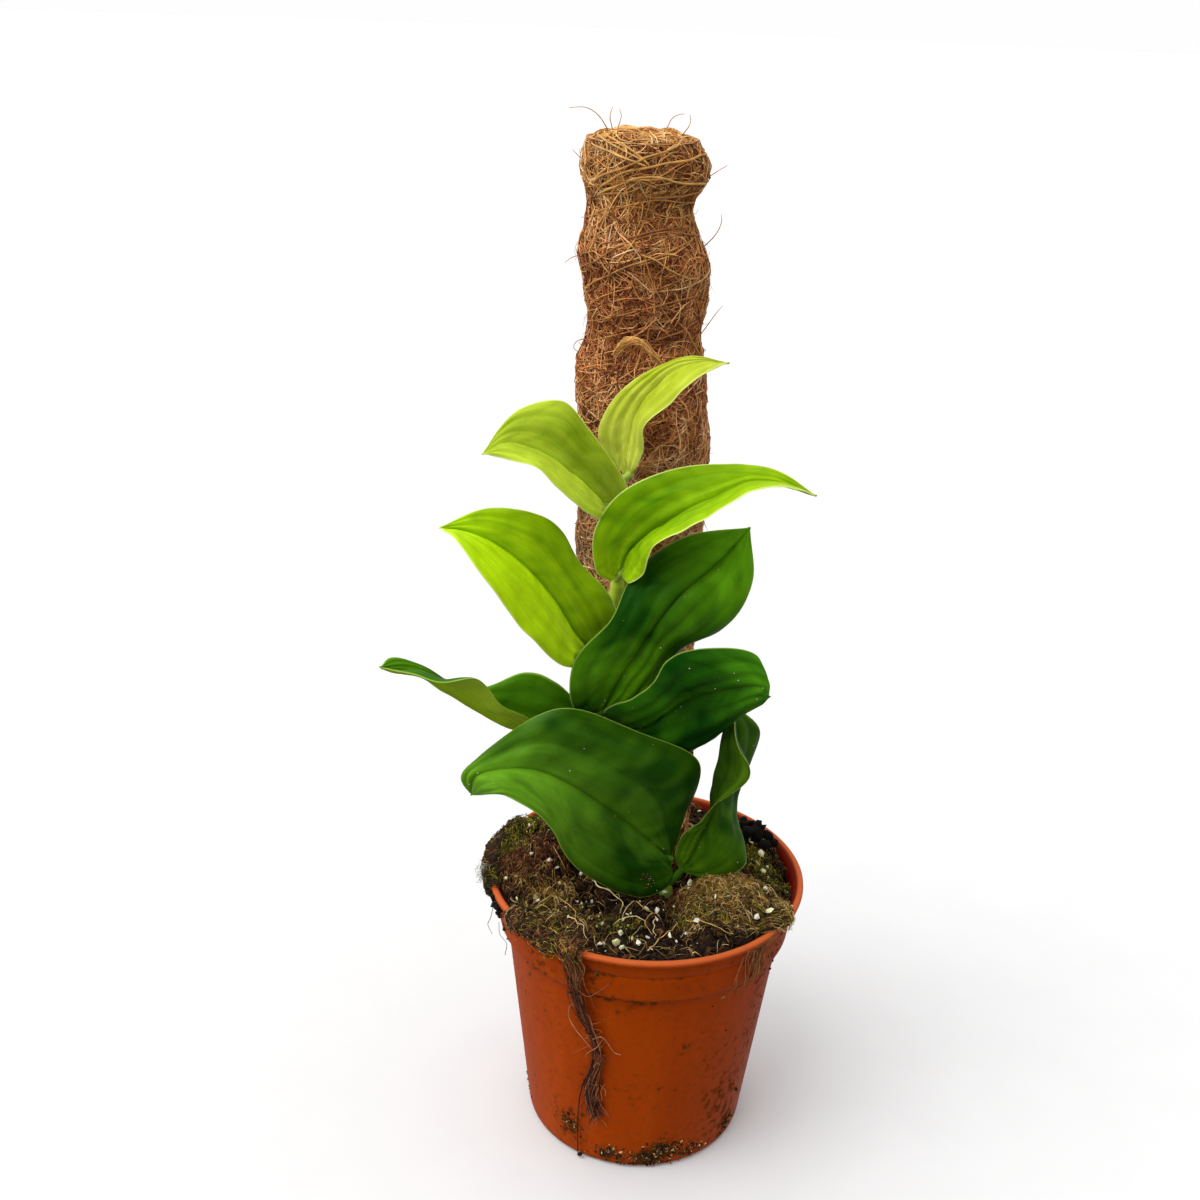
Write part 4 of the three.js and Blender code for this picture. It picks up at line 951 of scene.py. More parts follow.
def patch_surface(patch, u, v, top):
    """Points of a patch, through stations with a radius, a height and a direction to heap in. The
    thickness is least at the border and greatest in the middle, with lumps over it."""
    angle = np.radians(patch["from_degrees"] + (patch["to_degrees"] - patch["from_degrees"]) * u)
    heap = heaped(u, v)
    v = np.clip(v, 0, 1) * patch["limit"](u)
    on_top = [(r, soil_top(r * np.cos(angle), r * np.sin(angle)) - 0.6, 0.0)
              for r in PATCH_RADII if r >= patch["inner"]]
    low_lip = LIP_STATIONS[-1][1]
    on_wall_side = [(r, low_lip - patch["reach"](u) * share, lean) for r, share, lean in WALL_STATIONS]
    stations = [*on_top, *LIP_STATIONS, *on_wall_side]
    radius, height, tilt = (np.array([station[n] + 0 * angle for station in stations]) for n in range(3))
    position = v * (len(stations) - 1)
    low = np.minimum(position.astype(int), len(stations) - 2)
    share = position - low
    index = np.arange(len(u))
    r, z, way = (rows[low, index] * (1 - share) + rows[low + 1, index]
                 * share for rows in (radius, height, tilt))
    lumps = patch["lumps"] * np.sin(11 * u + 9 * v) * np.cos(7 * u - 8 * v)
    rest = 1.4 * (tilt[low, index] == 0)
    thick = top * (0.25 + rest * heap + heap * (patch["height"](v) + lumps))
    outward = np.stack([np.sin(way) * np.cos(angle), np.sin(way) * np.sin(angle), np.cos(way)], -1)
    return round_axis(r + thick * np.sin(way), angle, z + thick * np.cos(way)), outward


def patch_rise(x, y):
    """How far the patches lift what lies on them, for grains placed by x and y."""
    degrees, radius = np.degrees(np.arctan2(y, x)) % 360, np.hypot(x, y)
    beyond = len(LIP_STATIONS) + len(WALL_STATIONS)
    rise = 0 * radius
    for patch in PATCHES.values():
        u = (degrees - patch["from_degrees"]) / (patch["to_degrees"] - patch["from_degrees"])
        stations = sum(r >= patch["inner"] for r in PATCH_RADII) - 1
        out = (radius - patch["inner"]) / (SOIL_EDGE - patch["inner"])
        v = out * stations / (stations + beyond) / patch["limit"](u)
        inside = (u > 0) & (u < 1) & (v > 0) & (v < 1)
        high = heaped(u, v) * (patch["height"](v * patch["limit"](u)) + 0.8)
        rise = np.maximum(rise, inside * patch["top"] * high)
    return rise


def build_patch(name, patch, fibre):
    """One patch: its body with a rough top, strands of several kinds matted over it, each kind
    thickest in spots of its own, and crumbs of soil caught in it."""
    rows, columns = 70, 52
    v, u = np.meshgrid(np.linspace(0, 1, rows), np.linspace(0, 1, columns), indexing="ij")
    upper, way = patch_surface(patch, u.ravel(), v.ravel(), patch["top"])
    lower, _ = patch_surface(patch, u.ravel(), v.ravel(), 0.0)
    border = (np.sin(np.pi * u) * np.sin(np.pi * v)).ravel()[:, None] ** 0.3
    rough = 0.7 * relief(upper, 4, patch["seed"]) + 0.3 * relief(upper, 1.8, 5)
    upper = upper + way * border * rough[:, None]
    upper, lower = upper.reshape(rows, columns, 3), lower.reshape(rows, columns, 3)
    rings = np.concatenate([upper, lower[:, ::-1]], 1)[::-1]
    shade = np.clip(0.5 + 0.4 * relief(rings, 5, patch["seed"] + 5), 0, 1)[..., None]
    tint = SOIL_SHADES[0] * (1 - shade) + SOIL_SHADES[3] * shade
    shells = [ring_shell(rings, tint=tint.reshape(-1, 3))]
    draw = np.random.default_rng(patch["seed"] + 10)
    # Its width round the pot, and its depth from its inner edge over the lip, in mm
    wide = 57 * math.radians(patch["to_degrees"] - patch["from_degrees"])
    deep = 66 - patch["inner"]
    steps = 6
    s = np.linspace(0, 1, steps)[None]
    for k, (count, length, radius, lift, shades) in enumerate(patch["covers"]):
        long = draw.uniform(*length, (count, 1))
        turn = draw.uniform(-np.pi, np.pi, (count, 1)) + draw.normal(0, 2.4, (count, 1)) * (s - 0.5)
        start_u, start_v = draw.random((count * 2, 1)), draw.random((count * 2, 1))
        spots = relief(np.hstack([start_u * wide, start_v * deep, 0 * start_u]), 9, patch["seed"] + 30 + k)
        chosen = np.argsort(-(spots + draw.normal(0, 0.7, count * 2)))[:count]
        across, down = walk(turn, long)
        su = np.clip(start_u[chosen] + across / wide, -0.05, 1.05)
        sv = np.clip(start_v[chosen] + down / deep, -0.05, 1.04)
        paths, way = patch_surface(patch, su.ravel(), sv.ravel(), patch["top"])
        rise = draw.uniform(*lift, (count, 1)) * np.sin(np.pi * s) ** 0.7 - 0.1
        rise = rise + draw.normal(0, 0.5, (count, 1)) * (s - 0.5)
        paths = (paths + way * rise.reshape(-1, 1)).reshape(count, steps, 3)
        # What runs past the border hangs down, and no two points of a strand fall together
        beyond = np.maximum(sv - 1, 0)[..., None] * deep
        paths = paths - beyond * [0, 0, 1.6] + 0.02 * np.arange(steps)[:, None]
        radii = tapered(count, steps, draw.uniform(*radius, count))
        shells.append(mixed_strands(draw, paths, radii, 3, way.reshape(count, steps, 3), shades,
                                    patch["lean"]))
    count = 800
    spots, out = patch_surface(patch, draw.random(count), draw.random(count) ** 0.7, patch["top"])
    sizes = 0.25 + 0.9 * draw.random(count) ** 2.5
    shells.append(mixed_lumps(draw, spots + out * 0.4, sizes, patch["seed"] + 20, SOIL_SHADES, 1.3))
    if name == "moss_right":
        shells.append(hanging_fibres(draw))
    if name == "clump_left":
        shells += hanging_clump(draw)
    new_piece(name + "_mat", shells, fibre, patch["slot"], name)


def hanging_fibres(draw):
    """Long fibres that hang down the wall from the dead moss, each straight with a slight sway."""
    count, steps = 60, 8
    start = np.column_stack([
        draw.normal(317, 4.5, count), draw.uniform(103, 107.6, count), draw.uniform(0.3, 1.6, count)])
    end = start + np.column_stack([
        draw.normal(0, 2, count), -draw.uniform(4, 26, count), draw.uniform(-0.9, 0.2, count)])
    s = np.linspace(0, 1, steps)
    lines = np.stack([on_wall(start * (1 - part) + end * part) for part in s], 1)
    lines[..., 0] += 0.5 * np.sin(7 * s + draw.uniform(0, 6, (count, 1)))
    radii = tapered(count, steps, draw.uniform(0.06, 0.12, count))
    shades = np.vstack([RUST_SHADES[1:], STRAW_SHADES[1:4]])
    return mixed_strands(draw, lines, radii, 3, ALONG_WALL, shades)


# Two long hairs: degrees round the pot, height, distance out
CLUMP_HAIRS = [
    [[203, 94, 2], [205, 90, 2.6], [206, 86, 3.2], [206, 81, 4.6]],
    [[196, 96, 2.4], [197, 92, 4], [198, 90, 5.4], [200, 87, 5]],
]


def hanging_clump(draw):
    """Black lumps that cling outside the lip, tufts of white fluff above them, and two long hairs."""
    count = 60
    degrees = draw.uniform(185, 206, count)
    drop = draw.uniform(0, 1, count) ** 1.3 * 13 * np.sin(np.radians((degrees - 183) / 25 * 180)).clip(0.3)
    places = on_wall(np.column_stack([degrees, 106 - drop, draw.uniform(0.3, 2.0, count)]))
    black = mixed_lumps(draw, places, draw.uniform(0.6, 1.4, count), 96, SOIL_SHADES[:3])
    count, steps = 70, 7
    s = np.linspace(0, 1, steps)[None, :, None]
    start = np.array([-61.6, -9.5, 106.2]) + draw.normal(0, 1, (count, 1, 3)) * [0.8, 1.2, 1.7]
    turn = draw.normal(0, 1.0, (count, 1, 3))
    fluff = start + turn * 2.0 * (s - 0.5) + np.sin(6 * s + draw.uniform(0, 6, (count, 1, 3))) * 0.5
    radii = tapered(count, steps, draw.uniform(0.06, 0.11, count))
    white = mixed_strands(draw, fluff, radii, 3, [0.3, 0.2, 1], palette("#8E867A", "#C4BEB4", "#DCD8D0"))
    hairs = np.stack([curve_through(on_wall(path), np.linspace(0, 1, 16)) for path in CLUMP_HAIRS])
    hair = strand_shell(hairs, np.full((2, 16), 0.12), 4, [0.3, 0.9, 0.1],
                        tint=np.tile(SOIL_SHADES[3], (2, 1)))
    return [black, white, hair]


# Each root: half thickness, place in the shades, and degrees round the pot, height, distance out
ROOTS = [
    (0.62, 1.0, [[245, 108, -8], [245.5, 109.6, -1], [246, 108, 2.2], [247, 101, 3.2], [247, 91, 2.6],
        [247.5, 80, 3.0],
                 [250, 72, 2.4], [253.5, 64.5, 2.0], [254.5, 56, 2.0], [252, 46, 1.9], [250.5, 36, 1.9],
                 [252, 24.5, 1.6]]),
    (0.5, 1.4, [[248, 107, -8], [248, 109.6, -1], [248, 108, 2.2], [246.5, 101, 3.4], [248.5, 91, 2.8],
        [249, 80, 3.0],
                [251.5, 72, 2.6], [252.5, 64.5, 2.4], [253, 56, 2.2], [253.5, 46, 1.8], [252.5, 36, 1.8]]),
    (0.45, 0.6, [[250, 107, -8], [249.5, 109.6, -1], [249, 108, 2.2], [248.5, 101, 3.2], [246.5, 91, 2.4],
        [246.5, 80, 2.4],
                 [249, 72, 2.2], [252.5, 64.5, 1.8], [255.5, 56, 1.8], [254, 46, 1.7]]),
    (0.26, 3.6, [[248.5, 82, 3.4], [244, 79, 2.2], [242, 75.5, 1.8], [241.8, 71, 1.6], [244.5, 68.5, 2.6],
        [248.5, 66, 3.8], [252.5, 61, 3.2]]),
    (0.24, 3.2, [[249, 55, 2.0], [251, 59, 3.4], [254.5, 62.5, 3.2], [256.5, 66, 2.2]]),
    (0.24, 3.8, [[253, 66, 3.2], [256, 67, 2.0], [258.5, 64, 1.4], [261, 60, 1.1], [264, 59, 1.0]]),
    (0.2, 2.6, [[248.5, 90, 3.2], [252, 87.5, 2.2], [256, 91, 1.4], [259.5, 95, 1.2]]),
    (0.2, 3.4, [[243, 106, 2.6], [243.6, 100, 1.8], [244.2, 92, 1.4], [243.0, 86, 1.2], [242.0, 85, 1.0]]),
    (0.2, 2.8, [[250.5, 100, 3.6], [251, 93, 2.8], [252.5, 87, 2.0], [253, 80, 1.6]]),
    (0.30, 0.0, [[253, 50, 1.8], [249, 44.5, 1.6], [245.5, 34, 1.4], [243.6, 20, 1.3], [243, 9, 1.3],
        [243, 1.8, 1.5]]),
]
# The skein's half width in mm at each height, from its tail up
SKEIN = np.array([[20, 0.9], [28, 1.5], [38, 1.8], [48, 1.9], [57, 1.7], [64, 1.4], [72, 1.7], [84, 2.2],
    [95, 2.5], [102, 3.5], [110, 4.6]])
ROOT_SHADES = palette("#1E0E08", "#3E1C10", "#683620", "#9A5834", "#C28258")


def on_wall(path):
    """Points from degrees round the pot, a height, and a distance out from the wall there."""
    degrees, height, out = np.array(path, float).T
    radius = np.where(height >= RIM_HEIGHT, RIM_RADIUS, wall_radius(height)) + out
    return round_axis(radius, np.radians(degrees), height)


def build_roots(fibre):
    """The bundle on the wall: main roots, a skein of fine ones that wander about them within the
    bundle's width, curled side roots, a frayed tail, and crumbs."""
    draw = np.random.default_rng(81)
    shells = []
    share = np.linspace(0, 1, 70)
    for k, (radius, shade, path) in enumerate(ROOTS):
        main = curve_through(on_wall(path), share)
        thick = radius * (1 - 0.45 * share) * (1 + 0.12 * np.sin(40 * share + k))
        tint = shade_at(ROOT_SHADES, np.array([shade]))
        shells.append(strand_shell(main[None], thick[None], 6, unit(main * [1, 1, 0])[None], tint=tint))
    # Each fine root keeps its own place across the bundle and sways about it
    count, steps = 330, 20
    spine = on_wall(ROOTS[0][2])
    first = 0.86 * draw.random((count, 1)) ** 0.85
    along = first + np.minimum(draw.uniform(0.1, 0.42, (count, 1)), 1 - first) * np.linspace(0, 1, steps)
    centre = curve_through(spine, along)
    outward = unit(centre * [1, 1, 0])
    sideways = np.cross([0, 0, 1], outward)
    half = np.interp(centre[..., 2], SKEIN[:, 0], SKEIN[:, 1])
    aside = draw.normal(0, 0.42, (count, 1)) + 0.5 * sway(draw, count, (8, 30), along)
    out = draw.uniform(-0.5, 0.9, (count, 1)) + 0.4 * sway(draw, count, (8, 22), along)
    lines = centre + sideways * (aside * half)[..., None] + outward * (out * (0.5 + 0.25 * half))[..., None]
    tints = mixed_shades(draw, count, ROOT_SHADES, 1.2)
    straw = (first[:, 0] < 0.16) & (draw.random(count) < 0.6)
    tints[straw] = mixed_shades(draw, int(straw.sum()), STRAW_SHADES[:4])
    radii = tapered(count, steps, draw.uniform(0.07, 0.18, count), 0.4)
    shells.append(strand_shell(lines, radii, 4, outward, tint=tints))
    count = 170
    at = curve_through(spine, draw.uniform(0.1, 0.98, count))
    half = np.interp(at[:, 2], SKEIN[:, 0], SKEIN[:, 1])[:, None]
    at = at + draw.normal(0, 1, (count, 3)) * half * 0.45
    shells.append(mixed_lumps(draw, at, draw.uniform(0.2, 0.65, count), 82, SOIL_SHADES[1:]))
    # The frayed tail, and short side hairs
    count, steps = 120, 8
    s = np.linspace(0, 1, steps)
    start = on_wall(np.column_stack([
        draw.normal(252.5, 1.5, count), draw.uniform(28, 50, count), draw.uniform(0.8, 2.6, count)]))
    fall = np.stack([draw.normal(0, 1.5, count), draw.normal(0, 0.5, count), -draw.uniform(3, 10, count)], -1)
    lines = start[:, None] + fall[:, None] * s[:, None]
    lines[..., 0] += 0.5 * np.sin(6 * s + draw.uniform(0, 6, (count, 1)))
    lines[..., :2] *= 1 - (lines[:, :1, 2:] - lines[..., 2:]) * 0.0022
    radii = tapered(count, steps, draw.uniform(0.08, 0.17, count), 0.5)
    shells.append(mixed_strands(draw, lines, radii, 4, ALONG_WALL, ROOT_SHADES))
    count = 70
    start = curve_through(spine, draw.uniform(0.15, 0.75, count))
    turn = draw.normal(0, 1, (count, 1, 3)) * [3.0, 0.8, 3.0]
    wave = np.sin(5 * s + draw.uniform(0, 6, (count, 1)))[..., None] * [0.6, -0.3, 0.6]
    lines = start[:, None] + turn * s[:, None] + wave
    lines[..., 1] -= 0.4
    radii = tapered(count, steps, draw.uniform(0.07, 0.13, count), 0.5)
    shells.append(mixed_strands(draw, lines, radii, 4, ALONG_WALL, ROOT_SHADES[2:]))
    shells.append(lump_shell(on_wall([[244, 1.6, 1.2]]), np.array([1.1]), 95, tint=ROOT_SHADES[:1]))
    new_piece("roots_on_wall", shells, fibre, "root", "root_bundle")


# Dried soil smeared on the wall: degrees, height, how wide in degrees and how high in mm, how strong
SMEARS = [
    [238, 14, 7, 8, 0.9], [258, 6, 7, 4, 0.8], [277, 6, 6, 5, 0.9], [288, 8, 7, 6, 1.0], [302, 5, 5, 4, 0.7],
    [327, 9, 4, 5, 0.8], [318, 30, 14, 20, 0.45], [330, 62, 8, 16, 0.42], [300, 48, 10, 14, 0.32],
    [285, 92, 8, 4, 0.45],
    [252, 96, 6, 7, 0.5], [250, 60, 6, 30, 0.3], [262, 84, 20, 4, 0.3], [335, 84, 8, 12, 0.5],
    [292, 60, 3, 3, 0.6],
    [228, 92, 5, 6, 0.5], [120, 6, 14, 5, 0.8], [60, 10, 10, 6, 0.7], [178, 8, 10, 5, 0.7], [20, 40, 14, 20,
        0.4],
    [150, 60, 20, 22, 0.4], [200, 90, 6, 8, 0.5],
]
# Crumbs of soil stuck to the wall: degrees, height, how far they spread in degrees and in mm, how many
SPLASHES = [
    [238, 14, 4, 5, 220], [258, 6, 4, 3, 220], [277, 5, 4, 2.5, 200], [288, 8, 4.5, 4, 360],
    [302, 5, 4, 3, 130],
    [327, 8, 3, 3, 60], [272, 1.5, 9, 1, 90], [335, 28, 5, 8, 20], [337, 58, 4, 9, 16], [343, 76, 4, 6, 14],
    [252, 96, 4, 3, 20], [228, 92, 5, 5, 20], [224, 74, 8, 12, 8], [200, 90, 5, 6, 30], [300, 60, 25, 30, 20],
    [120, 6, 14, 4, 120], [60, 10, 10, 5, 80], [178, 8, 10, 4, 70], [20, 40, 14, 20, 30], [150, 60, 20, 22,
        30],
    [322, 94, 5, 5, 30], [332, 92, 4, 6, 30],
]


def build_splashes(earth):
    """Crumbs of dried soil on the pot's wall, thickest round its foot."""
    draw = np.random.default_rng(91)
    spots = np.concatenate([
        np.column_stack([
            at + draw.normal(0, wide / 0.9, count),
            np.abs(z + draw.normal(0, high * 0.6, count)) + 0.3,
            draw.uniform(-0.1, 0.15, count),
        ]) for at, z, wide, high, count in SPLASHES])
    spots = spots[spots[:, 1] < 103]
    sizes = 0.13 + 0.62 * draw.random(len(spots)) ** 3
    shades = palette("#1C100A", "#341E0E", "#523A18", "#7A5E2C", "#D8BE8C")
    crumbs = mixed_lumps(draw, on_wall(spots), sizes, 92, shades, 1.6, rough=0.42)
    new_piece("wall_crumbs", [crumbs], earth, "soil", smooth=False)


# Stem and leaves

STEM_NODES = 11
# The stem's middle line, up the front of the pole
STEM_PATH = [
    [9, -13, 84], [8, -13, 106], [3, -11, 122], [-3, -11, 143], [-11, -11, 163], [-19, -12.5, 179.5],
    [-20, -11, 199], [-17, -11, 217], [-15, -11, 229], [-18, -11, 244], [-19, -11, 255], [-16, -11, 266],
]


def build_stem(tissue):
    """The stem thins upwards and swells at each node, where a brown scar rings it and two or three
    short roots reach back to the pole."""
    share = np.linspace(0, 1, 160)
    path = curve_through(STEM_PATH, share)
    node = 1 - np.abs(np.sin(np.pi * (share * STEM_NODES + 0.15)))
    radius = 2.5 * (1.06 - 0.22 * share) + 0.4 * node ** 3
    radius[-6:] *= [0.98, 0.93, 0.84, 0.7, 0.5, 0.2]
    # The young green is the stem's own paler colour, set lighter still as painted light for the upper stem in
    # leaf_7's shade
    old, young, scar = palette("#6C8A30", "#C8E244", "#A8A05C")
    tone = old + (young - old) * share[:, None] ** 0.7
    ring = (node > 0.93)[:, None]
    tone = np.where(ring, scar, tone)
    sides = 14
    shell = strand_shell(path[None], radius[None], sides, [0.02, 1, 0.01], tint=palette("#FFFFFF"))
    shell["tint"] = np.repeat(tone, sides, axis=0)
    draw = np.random.default_rng(101)
    count, steps = 30, 9
    nodes = np.repeat(np.arange(1, STEM_NODES), 3) - 0.15 + draw.normal(0, 0.04, count)
    starts = curve_through(STEM_PATH, nodes / STEM_NODES)
    fall = np.stack([draw.normal(0, 3.5, count), np.full(count, 6.5), draw.normal(-3, 4, count)], -1)
    s = np.linspace(0, 1, steps)[None, :, None]
    lines = starts[:, None] + fall[:, None] * s + np.array([0, 0, -2.0]) * np.sin(np.pi * s)
    radii = tapered(count, steps, draw.uniform(0.35, 0.6, count), 0.7)
    roots = mixed_strands(draw, lines, radii, 6, [1, 0.02, 0.3], palette("#7A5A36", "#9A8250", "#6A4A2C"))
    new_piece("stem_vine", [green_shell(shell), green_shell(roots)], tissue, "stem", "stem")



